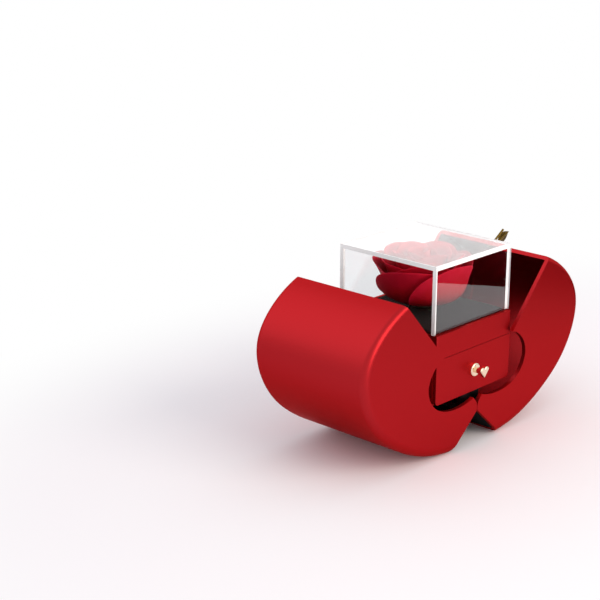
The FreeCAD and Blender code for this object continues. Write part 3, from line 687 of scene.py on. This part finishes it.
@dataclass
class GearedHinge(SubAssembly):
    """Gears, brackets, shafts and small screws under the block."""

    def build(self) -> list[bpy.types.Object]:
        """Dresses gears and hardware.

        Returns:
            Their objects.
        """
        gears = [f"{side}_{end}_gear" for side in SIDES for end in ("front", "rear")]
        hardware = ["front_hinge_bracket", "rear_hinge_bracket", "bracket_screws", "shaft_clips"]
        hardware += [f"{side}_{item}" for side in SIDES for item in ("hinge_shaft", "gear_screws")]
        return self.dressed(GEAR_PLASTIC, *gears) + self.dressed(BLACK_STEEL, *hardware)


@dataclass
class FoamBlock(ABC):
    """Foam block with a soft top edge and a top that is drawn by height."""

    name: str
    node: str
    step_mm: float
    edge_mm: float
    inset_mm: float = 0.05

    @cached_property
    def corners(self) -> tuple[Vector, Vector]:
        """Lowest and highest corner of the solid that the block stands for."""
        low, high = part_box(self.node)
        return Vector(low), Vector(high)

    @abstractmethod
    def top_fall(self, x: float, y: float) -> float:
        """Depth of the top below the block's highest level.

        Args:
            x: Place to the right of the block's middle, in metres.
            y: Place behind the block's middle, in metres.

        Returns:
            Depth in metres.
        """

    def edge_fall(self, inside: float) -> float:
        """Fall of the rounded top edge.

        Args:
            inside: Distance in from the nearest side, in metres.

        Returns:
            Fall in metres.
        """
        edge = self.edge_mm * MM
        gap = max(0.0, edge - inside)
        return edge - math.sqrt(max(0.0, edge * edge - gap * gap))

    def mesh(self) -> bpy.types.Object:
        """Makes the block's mesh in its solid's place.

        Returns:
            The closed block.
        """
        low, high = self.corners
        centre = (low + high) / 2
        inset = self.inset_mm * MM
        half_x = (high.x - low.x) / 2 - inset
        half_y = (high.y - low.y) / 2 - inset
        columns = int(2 * half_x / (self.step_mm * MM)) + 1
        rows = int(2 * half_y / (self.step_mm * MM)) + 1
        points: list[Point] = []
        for y in spread(-half_y, half_y, rows):
            for x in spread(-half_x, half_x, columns):
                inside = min(half_x - abs(x), half_y - abs(y))
                fall = self.edge_fall(inside) + self.top_fall(x, y)
                points.append((centre.x + x, centre.y + y, high.z - inset - fall))
        faces: list[tuple[int, ...]] = [*grid_faces(rows, columns)]
        rim = grid_rim(rows, columns)
        foot = len(points)
        points += [(points[corner][0], points[corner][1], low.z + inset) for corner in rim]
        for index, corner in enumerate(rim):
            after = (index + 1) % len(rim)
            faces.append((rim[after], corner, foot + index, foot + after))
        faces.append(tuple(range(foot + len(rim) - 1, foot - 1, -1)))
        return mesh_piece(self.name, points, faces)


@dataclass
class FlowerBedBlock(FoamBlock):
    """Flocked bed: nearly flat, with slow unevenness from the spraying."""

    swell_mm: float = 0.5
    swell_size_mm: float = 14.0
    noise_level: float = 0.3

    def top_fall(self, x: float, y: float) -> float:
        """Fall of the uneven top.

        Args:
            x: Place to the right of the block's middle, in metres.
            y: Place behind the block's middle, in metres.

        Returns:
            Depth in metres.
        """
        scale = per_metre(self.swell_size_mm)
        level = noise.noise(Vector((x * scale, y * scale, self.noise_level)))
        return self.swell_mm * MM * (1 + max(-1.0, min(1.0, level))) / 2


@dataclass
class RingPadBlock(FoamBlock):
    """Flocked pad of the drawer: crowned across, with three ring slots whose lips are soft."""

    crown_mm: float = 1.2
    slot_count: int = 3
    slot_pitch_mm: float = 16.0
    slot_length_mm: float = 22.0
    slot_width_mm: float = 2.4
    slot_depth_mm: float = 7.0
    lip_mm: float = 0.9

    def top_fall(self, x: float, y: float) -> float:
        """Fall of crown and slots.

        Args:
            x: Place to the right of the block's middle, in metres.
            y: Place behind the block's middle, in metres.

        Returns:
            Depth in metres.
        """
        low, high = self.corners
        half = (high.x - low.x) / 2
        fall = self.crown_mm * MM * (x / half) ** 2
        for index in range(self.slot_count):
            slot_y = (index - (self.slot_count - 1) / 2) * self.slot_pitch_mm * MM
            beyond_x = abs(x) - self.slot_length_mm * MM / 2
            beyond_y = abs(y - slot_y) - self.slot_width_mm * MM / 2
            beyond = math.hypot(max(0.0, beyond_x), max(0.0, beyond_y))
            fall += self.slot_depth_mm * MM * (1 - smooth_step(beyond / (self.lip_mm * MM))) ** 2
        return fall


@dataclass
class CentreBlock(SubAssembly):
    """Red case with the flocked bed in its tub."""

    bed_step_mm: float = 1.1
    bed_edge_mm: float = 1.2

    def build(self) -> list[bpy.types.Object]:
        """Dresses the case and builds the bed.

        Returns:
            Case and bed.
        """
        case = self.dressed(LACQUER, "block_housing")
        bed = FlowerBedBlock("flocked_flower_bed", "flower_bed", self.bed_step_mm, self.bed_edge_mm).mesh()
        FLOCK.put_on([bed])
        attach(bed, "centre_block")
        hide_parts("flower_bed")
        return case + [bed]


@dataclass(frozen=True)
class Petal:
    """Where a petal stands in its ring, and how it differs from the ring.

    It is taller by its lift, stands out by its spread, and is more pointed with a higher arch power.
    """

    angle: float
    lift_mm: float = 0.0
    spread_mm: float = 0.0
    arch_power: float = 0.45


@dataclass(frozen=True)
class Whorl:
    """One ring of petals.

    A petal's profile is a curve from its foot to its rim, drawn out by a pull near its belly and one near
    its wall. These four places are radius and height above the bed, in millimetres. The lap sets one side of
    a petal inside its neighbour, and the radius step sets each next petal further in or out.
    """

    name: str
    node: str
    foot: Pair
    belly: Pair
    wall: Pair
    rim: Pair
    petals: tuple[Petal, ...]
    half_angle: float
    lap_mm: float
    curl_mm: float
    ruffle_mm: float
    radius_step_mm: float = 0.0

    def profile(self, reach: float) -> Pair:
        """Radius and height at a share of the way from foot to rim.

        Args:
            reach: Share of the way, from 0 to 1.

        Returns:
            Radius and height in millimetres.
        """
        rest = 1 - reach
        weights = (rest**3, 3 * rest**2 * reach, 3 * rest * reach**2, reach**3)
        corners = (self.foot, self.belly, self.wall, self.rim)
        radius = sum(weight * corner[0] for weight, corner in zip(weights, corners))
        height = sum(weight * corner[1] for weight, corner in zip(weights, corners))
        return radius, height


OUTER_WHORL = Whorl(
    name="rose_outer_bloom",
    node="rose_outer_petals",
    foot=(7.9, 5.0),
    belly=(24.0, 4.0),
    wall=(22.5, 18.0),
    rim=(28.6, 28.4),
    petals=(
        Petal(208, lift_mm=2.2, spread_mm=2.2, arch_power=0.62),
        Petal(262, lift_mm=4.5, spread_mm=3.8, arch_power=0.7),
        Petal(316, lift_mm=3.0),
        Petal(40, lift_mm=2.0),
        Petal(120, lift_mm=1.0),
    ),
    half_angle=66,
    lap_mm=-2.6,
    curl_mm=0.9,
    ruffle_mm=0.35,
)
MIDDLE_WHORL = Whorl(
    name="rose_middle_bloom",
    node="rose_middle_petals",
    foot=(6.9, 8.0),
    belly=(19.0, 8.0),
    wall=(18.0, 23.0),
    rim=(24.0, 32.8),
    petals=(Petal(225), Petal(297), Petal(9), Petal(81), Petal(153)),
    half_angle=60,
    lap_mm=-1.2,
    curl_mm=1.6,
    ruffle_mm=0.9,
)
INNER_WHORL = Whorl(
    name="rose_inner_bloom",
    node="rose_inner_petals",
    foot=(5.9, 11.0),
    belly=(13.5, 12.5),
    wall=(12.5, 26.0),
    rim=(16.5, 34.4),
    petals=(Petal(250), Petal(340), Petal(70), Petal(160)),
    half_angle=76,
    lap_mm=-1.1,
    curl_mm=1.3,
    ruffle_mm=0.7,
)
CORE_WHORL = Whorl(
    name="rose_core_bloom",
    node="rose_core",
    foot=(2.2, 13.0),
    belly=(9.4, 16.0),
    wall=(9.0, 28.0),
    rim=(9.6, 33.4),
    petals=tuple(Petal(40 + 60 * turn, lift_mm=0.3 * turn) for turn in range(6)),
    half_angle=95,
    lap_mm=-0.9,
    curl_mm=0.5,
    ruffle_mm=0.3,
    radius_step_mm=-1.15,
)


@dataclass(frozen=True)
class Calyx:
    """Cup under the bloom, drawn as radius and height, and its sepals. Lengths are in millimetres."""

    cup: tuple[Pair, ...] = (
        (0.4, 0.2),
        (4.5, 0.2),
        (7.0, 1.0),
        (7.4, 2.4),
        (6.4, 5.2),
        (5.2, 8.4),
        (0.4, 8.8),
    )
    cup_steps: int = 40
    sepals: int = 5
    first_angle: float = 24.0
    rows: int = 14
    columns: int = 7
    root_radius: float = 6.5
    root_height: float = 0.9
    length: float = 5.0
    half_width: float = 3.4
    tip_half_width: float = 0.05
    taper_power: float = 0.7
    arch: float = 1.2
    dish: float = 0.5
    thickness: float = 0.35

    def cup_places(self) -> list[Point]:
        """Radius, height and angle of each point of the cup, ring by ring."""
        turns = spread(0.0, math.tau, self.cup_steps + 1)
        return [(radius, height, turn) for radius, height in self.cup for turn in turns]

    def sepal_places(self, index: int) -> list[Point]:
        """Works out the points of one sepal, row by row from its root.

        Args:
            index: Its number round the cup.

        Returns:
            Radius, height and angle of each point.
        """
        turn = math.radians(self.first_angle + 360 / self.sepals * index)
        places = []
        for v in spread(0.0, 1.0, self.rows):
            radius = self.root_radius + self.length * v
            half_width = self.half_width * (1 - v) ** self.taper_power + self.tip_half_width
            for u in spread(-1.0, 1.0, self.columns):
                height = self.root_height + self.arch * math.sin(math.pi * v) + self.dish * u * u
                places.append((radius, height, turn + half_width * u / radius))
        return places


@dataclass
class Rose(SubAssembly):
    """Preserved rose, leaning a little: rolled core, three rings of cupped petals, and a calyx."""

    whorls: tuple[Whorl, ...] = (OUTER_WHORL, MIDDLE_WHORL, INNER_WHORL, CORE_WHORL)
    calyx: Calyx = Calyx()
    rows: int = 22
    columns: int = 33
    petal_mm: float = 0.45
    width_shares: Pair = (0.96, 1.04)
    lift_play_mm: float = 0.4
    open_reach: float = 0.6
    curl_start: float = 0.7
    ruffle_waves: float = 2.7
    swell_waves: float = 1.6
    swell_share: float = 0.7
    lean: float = 0.07
    lean_angle: float = 133.0
    seed: int = 11

    @cached_property
    def axis_foot(self) -> Vector:
        """Point where the rose's axis meets the bed's top."""
        calyx = middle("rose_calyx")
        return Vector((calyx.x, calyx.y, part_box("flower_bed")[1][2]))

    def place(self, radius: float, height: float, angle: float) -> Point:
        """Turns a place in the leaning rose to the frame.

        Args:
            radius: Distance from the axis in millimetres.
            height: Height above the bed in millimetres.
            angle: Angle about the axis in radians.

        Returns:
            Point in metres.
        """
        base = self.axis_foot
        side = self.lean * height
        towards = math.radians(self.lean_angle)
        x = radius * math.cos(angle) + side * math.cos(towards)
        y = radius * math.sin(angle) + side * math.sin(towards)
        return (base.x + x * MM, base.y + y * MM, base.z + height * MM)

    def petal(self, whorl: Whorl, index: int, draw: random.Random) -> list[Point]:
        """Works out the points of one petal, which is broad with a round top.

        Args:
            whorl: Ring that it belongs to.
            index: Its number in the ring.
            draw: Source of small differences.

        Returns:
            Grid of points from foot to rim, in metres.
        """
        petal = whorl.petals[index]
        turn = math.radians(petal.angle)
        half = math.radians(whorl.half_angle * draw.uniform(*self.width_shares))
        ruffle_start = draw.uniform(0, math.tau)
        swell_start = draw.uniform(0, math.tau)
        lift = petal.lift_mm + draw.uniform(-self.lift_play_mm, self.lift_play_mm)
        grow = index * whorl.radius_step_mm + petal.spread_mm
        points = []
        for v in spread(0.0, 1.0, self.rows):
            for slant in spread(-math.pi / 2, math.pi / 2, self.columns):
                u = math.sin(slant)
                reach = v * max(0.0, math.cos(slant)) ** petal.arch_power
                radius, height = whorl.profile(reach)
                open_share = smooth_step(reach / self.open_reach)
                curl = max(0.0, (v - self.curl_start) / (1 - self.curl_start)) * open_share
                ruffle = whorl.ruffle_mm * curl
                wave = math.sin(self.ruffle_waves * u * math.pi + ruffle_start)
                swell = math.sin(self.swell_waves * u * math.pi + swell_start)
                radius += open_share * (whorl.lap_mm * u + grow)
                radius += whorl.curl_mm * curl**2 + ruffle * wave
                height += reach**3 * lift + self.swell_share * ruffle * swell
                points.append(self.place(radius, height, turn + u * half))
        return points

    def ring(self, whorl: Whorl) -> bpy.types.Object:
        """Builds one ring of petals.

        Args:
            whorl: Sizes of the ring.

        Returns:
            The ring as one piece.
        """
        draw = random.Random(f"{self.seed}{whorl.name}")
        points: list[Point] = []
        faces: list[Quad] = []
        for index in range(len(whorl.petals)):
            faces += grid_faces(self.rows, self.columns, len(points))
            points += self.petal(whorl, index, draw)
        piece = mesh_piece(whorl.name, points, faces)
        self.lay_dye_and_shade_map(piece)
        thicken(piece, "petal_thickness", self.petal_mm)
        soft = piece.modifiers.new("soft_skin", "SUBSURF")
        soft.levels = 1
        soft.render_levels = 1
        PETAL.put_on([piece])
        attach(piece, "centre_block")
        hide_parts(whorl.node)
        return piece

    def lay_dye_and_shade_map(self, piece: bpy.types.Object) -> None:
        """Lays a map of across and along on each petal, which carries the run of dye and painted shade.

        Args:
            piece: Ring whose petals are grids of the same size.
        """
        chart = piece.data.uv_layers.new(name="across_and_along")
        size = self.rows * self.columns
        for loop in piece.data.loops:
            row, column = divmod(loop.vertex_index % size, self.columns)
            chart.data[loop.index].uv = (column / (self.columns - 1), row / (self.rows - 1))

    def cup_and_sepals(self) -> bpy.types.Object:
        """Builds the cup under the bloom with its sepals.

        Returns:
            The calyx as one piece.
        """
        calyx = self.calyx
        points = [self.place(*spot) for spot in calyx.cup_places()]
        faces = grid_faces(len(calyx.cup), calyx.cup_steps + 1)
        for index in range(calyx.sepals):
            faces += grid_faces(calyx.rows, calyx.columns, len(points))
            points += [self.place(*spot) for spot in calyx.sepal_places(index)]
        piece = mesh_piece("rose_calyx_sepals", points, faces)
        thicken(piece, "sepal_thickness", calyx.thickness)
        SEPAL.put_on([piece])
        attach(piece, "centre_block")
        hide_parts("rose_calyx")
        return piece

    def build(self) -> list[bpy.types.Object]:
        """Builds calyx and rings.

        Returns:
            All pieces of the rose.
        """
        return [self.cup_and_sepals()] + [self.ring(whorl) for whorl in self.whorls]


@dataclass
class Drawer(SubAssembly):
    """Drawer with its flocked ring pad and gold heart knob."""

    pad_step_mm: float = 0.6
    pad_edge_mm: float = 1.4

    def build(self) -> list[bpy.types.Object]:
        """Dresses front, tray and knob, and builds the pad.

        Returns:
            All pieces of the drawer.
        """
        pieces = self.dressed(LACQUER, "drawer_front")
        pieces += self.dressed(TRAY_PLASTIC, "drawer_tray")
        pieces += self.dressed(GOLD_PLATE, "knob_base", "knob_heart")
        pieces += self.dressed(BLACK_STEEL, "knob_screw")
        pad = RingPadBlock("flocked_ring_pad", "drawer_insert", self.pad_step_mm, self.pad_edge_mm).mesh()
        FLOCK.put_on([pad])
        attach(pad, "drawer")
        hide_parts("drawer_insert")
        return pieces + [pad]


@dataclass
class ClearCover(SubAssembly):
    """Five clear panes over the rose, which let light through without a shadow."""

    def build(self) -> list[bpy.types.Object]:
        """Dresses the panes by the way that they face.

        Returns:
            The panes.
        """
        panes = self.dressed(CastAcrylic(Facing.FRONT), "cover_front_pane", "cover_rear_pane")
        panes += self.dressed(CastAcrylic(Facing.SIDE), "cover_left_pane", "cover_right_pane")
        panes += self.dressed(CastAcrylic(Facing.TOP), "cover_top_pane")
        for pane in panes:
            pane.visible_shadow = False
            pane.visible_diffuse = False
        return panes


@dataclass
class StemAndLeaf(SubAssembly):
    """Gold stem with its nut, and a veined leaf.

    Slant and rib width are shares of the leaf's half width.
    """

    length_mm: float = 12.3
    width_mm: float = 6.4
    thickness_mm: float = 0.5
    lean_degrees: float = 66.0
    fold_mm: float = 0.35
    rib_mm: float = 0.192
    rib_width: float = 0.09
    veins: int = 6
    vein_mm: float = 0.12
    vein_slant: float = 0.45
    vein_power: int = 6
    rows: int = 61
    columns: int = 31

    def depth_mm(self, s: float, t: float) -> float:
        """Depth of the leaf's face behind its middle plane, from its fold, midrib and veins.

        Args:
            s: Place along the leaf, from -1 to 1.
            t: Place across it, from -1 to 1.

        Returns:
            Depth in millimetres.
        """
        rib = math.exp(-((t / self.rib_width) ** 2))
        slant = (s - self.vein_slant * abs(t)) * self.veins
        vein = max(0.0, math.cos(math.tau * slant)) ** self.vein_power * (1 - abs(t))
        fold = self.fold_mm * (abs(t) - 1 / 2)
        return fold - self.vein_mm * vein - self.rib_mm * rib

    def leaf(self) -> bpy.types.Object:
        """Builds the leaf: pointed at both ends, folded a little along its midrib, with raised veins.

        Returns:
            The leaf.
        """
        centre = middle("leaf")
        lean = math.radians(self.lean_degrees)
        along = Vector((math.sin(lean), 0, math.cos(lean))) * self.length_mm / 2
        across = Vector((math.cos(lean), 0, -math.sin(lean))) * self.width_mm / 2
        points: list[Point] = []
        for s in spread(-1.0, 1.0, self.rows):
            for t in spread(-1.0, 1.0, self.columns):
                spot = centre + (along * s + across * ((1 - s * s) * t)) * MM
                points.append((spot.x, spot.y + self.depth_mm(s, t) * MM, spot.z))
        piece = mesh_piece("gold_leaf_blade", points, grid_faces(self.rows, self.columns))
        thicken(piece, "leaf_thickness", self.thickness_mm)
        LEAF_GOLD.put_on([piece])
        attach(piece, "right_half")
        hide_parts("leaf")
        return piece

    def build(self) -> list[bpy.types.Object]:
        """Dresses the stem and its nut, and builds the leaf.

        Returns:
            All three.
        """
        return self.dressed(LEAF_GOLD, "stem", "stem_nut") + [self.leaf()]


# Studio


class LampUse(Enum):
    """What a softbox is there for."""

    LIGHT = "lights everything"
    GLEAM = "shows in glossy faces alone"


@dataclass(frozen=True)
class Softbox:
    """Square area lamp that looks at the object."""

    name: str
    direction: Point
    distance: float
    size: float
    watts: float
    colour: str = WHITE
    use: LampUse = LampUse.LIGHT

    def build(self, aim: Vector) -> None:
        """Puts the lamp up.

        Args:
            aim: Point that it looks at.
        """
        lamp = bpy.data.lights.new(self.name, "AREA")
        lamp.shape = "SQUARE"
        lamp.size = self.size
        lamp.energy = self.watts
        lamp.color = linear(self.colour)[:3]
        holder = bpy.data.objects.new(self.name, lamp)
        away = Vector(self.direction).normalized()
        holder.location = aim + away * self.distance
        holder.rotation_euler = away.to_track_quat("Z", "Y").to_euler()
        holder.visible_camera = False
        holder.visible_diffuse = self.use is LampUse.LIGHT
        bpy.context.scene.collection.objects.link(holder)


@dataclass(frozen=True)
class Card:
    """Board lying on the floor out of the picture, for glossy faces alone to mirror.

    Its near edge runs through a place at an angle, in metres and degrees, with its width on the right.
    """

    name: str
    edge: Pair
    edge_angle: float
    half_length: float
    width: float
    colour: str
    height: float = 0.001

    def material(self) -> bpy.types.Material:
        """Makes the card's matt paint, which is clear until a ray has met a glossy face.

        Returns:
            The material.
        """
        made = bpy.data.materials.new(f"matt_{self.name}")
        tree = empty_tree(made)
        matt = add_node(tree, "BsdfDiffuse", {"Color": linear(self.colour)})
        unseen = add_node(tree, "BsdfTransparent")
        met = add_node(tree, "LightPath").outputs["Glossy Depth"]
        mirrored = add_node(tree, "Math", {0: met, 1: 0.0}, operation="GREATER_THAN")
        mix = add_node(tree, "MixShader", {0: mirrored.outputs[0], 1: unseen.outputs[0], 2: matt.outputs[0]})
        add_node(tree, "OutputMaterial", {"Surface": mix.outputs[0]})
        return made

    def build(self) -> None:
        """Lays the card."""
        turn = math.radians(self.edge_angle)
        along = Vector((math.cos(turn), math.sin(turn), 0)) * self.half_length
        across = Vector((math.sin(turn), -math.cos(turn), 0)) * self.width
        edge = Vector((*self.edge, self.height))
        corners = [edge - along, edge - along + across, edge + along + across, edge + along]
        card = mesh_piece(self.name, [tuple(corner) for corner in corners], [(0, 1, 2, 3)])
        card.data.materials.append(self.material())
        card.visible_camera = False
        card.visible_diffuse = False
        card.visible_shadow = False


@dataclass
class Studio:
    """White floor, soft light, a black card for the clear cover to mirror, and the photograph's camera."""

    floor_half: float = 8.0
    floor_colour: str = "#FBF9FF"
    fade_start: float = 0.14
    fade_end: float = 0.3
    fade_stretch: Point = (0.6, 1.0, 1.0)
    world_level: float = 0.82
    camera_place: Point = (-0.7016, -0.5534, 0.3638)
    yaw_degrees: float = 46.78
    pitch_degrees: float = 17.57
    roll_degrees: float = 0.24
    lens_mm: float = 92.55
    sensor_mm: float = 36.0
    far_clip: float = 50.0
    softboxes: tuple[Softbox, ...] = (
        Softbox("key_softbox", (0.1, -0.87, 0.42), distance=1.5, size=1.1, watts=12.5, colour="#FFF1E0"),
        Softbox("top_panel", (-0.33, 0.67, 0.67), distance=1.5, size=1.4, watts=3.8, use=LampUse.GLEAM),
        Softbox("backdrop_panel", (0.69, 0.65, 0.34), distance=1.7, size=1.3, watts=3.2, use=LampUse.GLEAM),
    )
    card: Card = Card(
        "black_card", edge=(0.2475, -0.2445), edge_angle=57.0, half_length=0.4, width=0.6, colour="#050505"
    )

    def sweep(self) -> bpy.types.Material:
        """Makes the floor's matt white, which keeps shadows near the object and is plain white beyond.

        Returns:
            The material.
        """
        made = bpy.data.materials.new("matt_white_sweep")
        tree = empty_tree(made)
        matt = add_node(tree, "BsdfDiffuse", {"Color": linear(self.floor_colour)})
        white = add_node(tree, "Emission", {"Color": linear(WHITE)})
        place = add_node(tree, "TexCoord").outputs["Object"]
        oval = add_node(tree, "VectorMath", {0: place, 1: self.fade_stretch}, operation="MULTIPLY")
        away = add_node(tree, "VectorMath", {0: oval.outputs[0]}, operation="LENGTH").outputs["Value"]
        fade = add_node(
            tree,
            "MapRange",
            {"Value": away, "From Min": self.fade_start, "From Max": self.fade_end},
            interpolation_type="SMOOTHSTEP",
        )
        rays = add_node(tree, "LightPath").outputs
        either = {0: rays["Is Camera Ray"], 1: rays["Is Transmission Ray"]}
        seen = add_node(tree, "Math", either, operation="MAXIMUM")
        share = add_node(tree, "Math", {0: fade.outputs[0], 1: seen.outputs[0]}, operation="MULTIPLY")
        mix = add_node(tree, "MixShader", {0: share.outputs[0], 1: matt.outputs[0], 2: white.outputs[0]})
        add_node(tree, "OutputMaterial", {"Surface": mix.outputs[0]})
        return made

    def floor(self) -> None:
        """Lays the floor."""
        half = self.floor_half
        corners = [(-half, -half, 0.0), (half, -half, 0.0), (half, half, 0.0), (-half, half, 0.0)]
        floor = mesh_piece("studio_floor", corners, [(0, 1, 2, 3)])
        floor.data.materials.append(self.sweep())

    def world(self) -> None:
        """Lights the room evenly, and shows it as white to the eye, in gloss and through clear panes."""
        world = bpy.data.worlds.new("even_white_room")
        bpy.context.scene.world = world
        tree = empty_tree(world)
        rays = add_node(tree, "LightPath").outputs
        either = {0: rays["Is Camera Ray"], 1: rays["Is Glossy Ray"]}
        seen = add_node(tree, "Math", either, operation="MAXIMUM")
        any_of_three = {0: seen.outputs[0], 1: rays["Is Transmission Ray"]}
        shown = add_node(tree, "Math", any_of_three, operation="MAXIMUM")
        light = add_node(tree, "Background", {"Color": linear(WHITE), "Strength": self.world_level})
        white = add_node(tree, "Background", {"Color": linear(WHITE), "Strength": 1.0})
        mix = add_node(tree, "MixShader", {0: shown.outputs[0], 1: light.outputs[0], 2: white.outputs[0]})
        add_node(tree, "OutputWorld", {"Surface": mix.outputs[0]})

    def camera(self) -> None:
        """Sets the camera where the photograph was taken from."""
        yaw = math.radians(self.yaw_degrees)
        pitch = math.radians(self.pitch_degrees)
        level = math.cos(pitch)
        ahead = Vector((math.sin(yaw) * level, math.cos(yaw) * level, -math.sin(pitch)))
        right = Vector((math.cos(yaw), -math.sin(yaw), 0))
        upright = Matrix((right, right.cross(ahead), -ahead)).transposed()
        roll = Matrix.Rotation(math.radians(self.roll_degrees), 3, "Z")
        lens = bpy.data.cameras.new("photo_camera")
        lens.sensor_width = self.sensor_mm
        lens.lens = self.lens_mm
        lens.clip_end = self.far_clip
        holder = bpy.data.objects.new("photo_camera", lens)
        holder.matrix_world = Matrix.Translation(self.camera_place) @ (upright @ roll).to_4x4()
        bpy.context.scene.collection.objects.link(holder)
        bpy.context.scene.camera = holder

    def build(self) -> None:
        """Builds floor, card, light and camera."""
        low, high = (Vector(corner) for corner in CAD_BOUNDS)
        self.floor()
        self.card.build()
        self.world()
        for softbox in self.softboxes:
            softbox.build((low + high) / 2)
        self.camera()
        bpy.context.scene.view_settings.view_transform = "Standard"


def main() -> None:
    """Builds every sub-assembly in order and reports its pieces."""
    logging.basicConfig(level=logging.INFO, format="%(message)s")
    groups: tuple[SubAssembly, ...] = (
        HalfShells(),
        GearedHinge(),
        CentreBlock(),
        Rose(),
        Drawer(),
        ClearCover(),
        StemAndLeaf(),
    )
    for group in groups:
        for piece in group.build():
            LOG.info("%s: %s", type(group).__name__, piece.name)
    Studio().build()


if __name__ == "__main__":
    main()
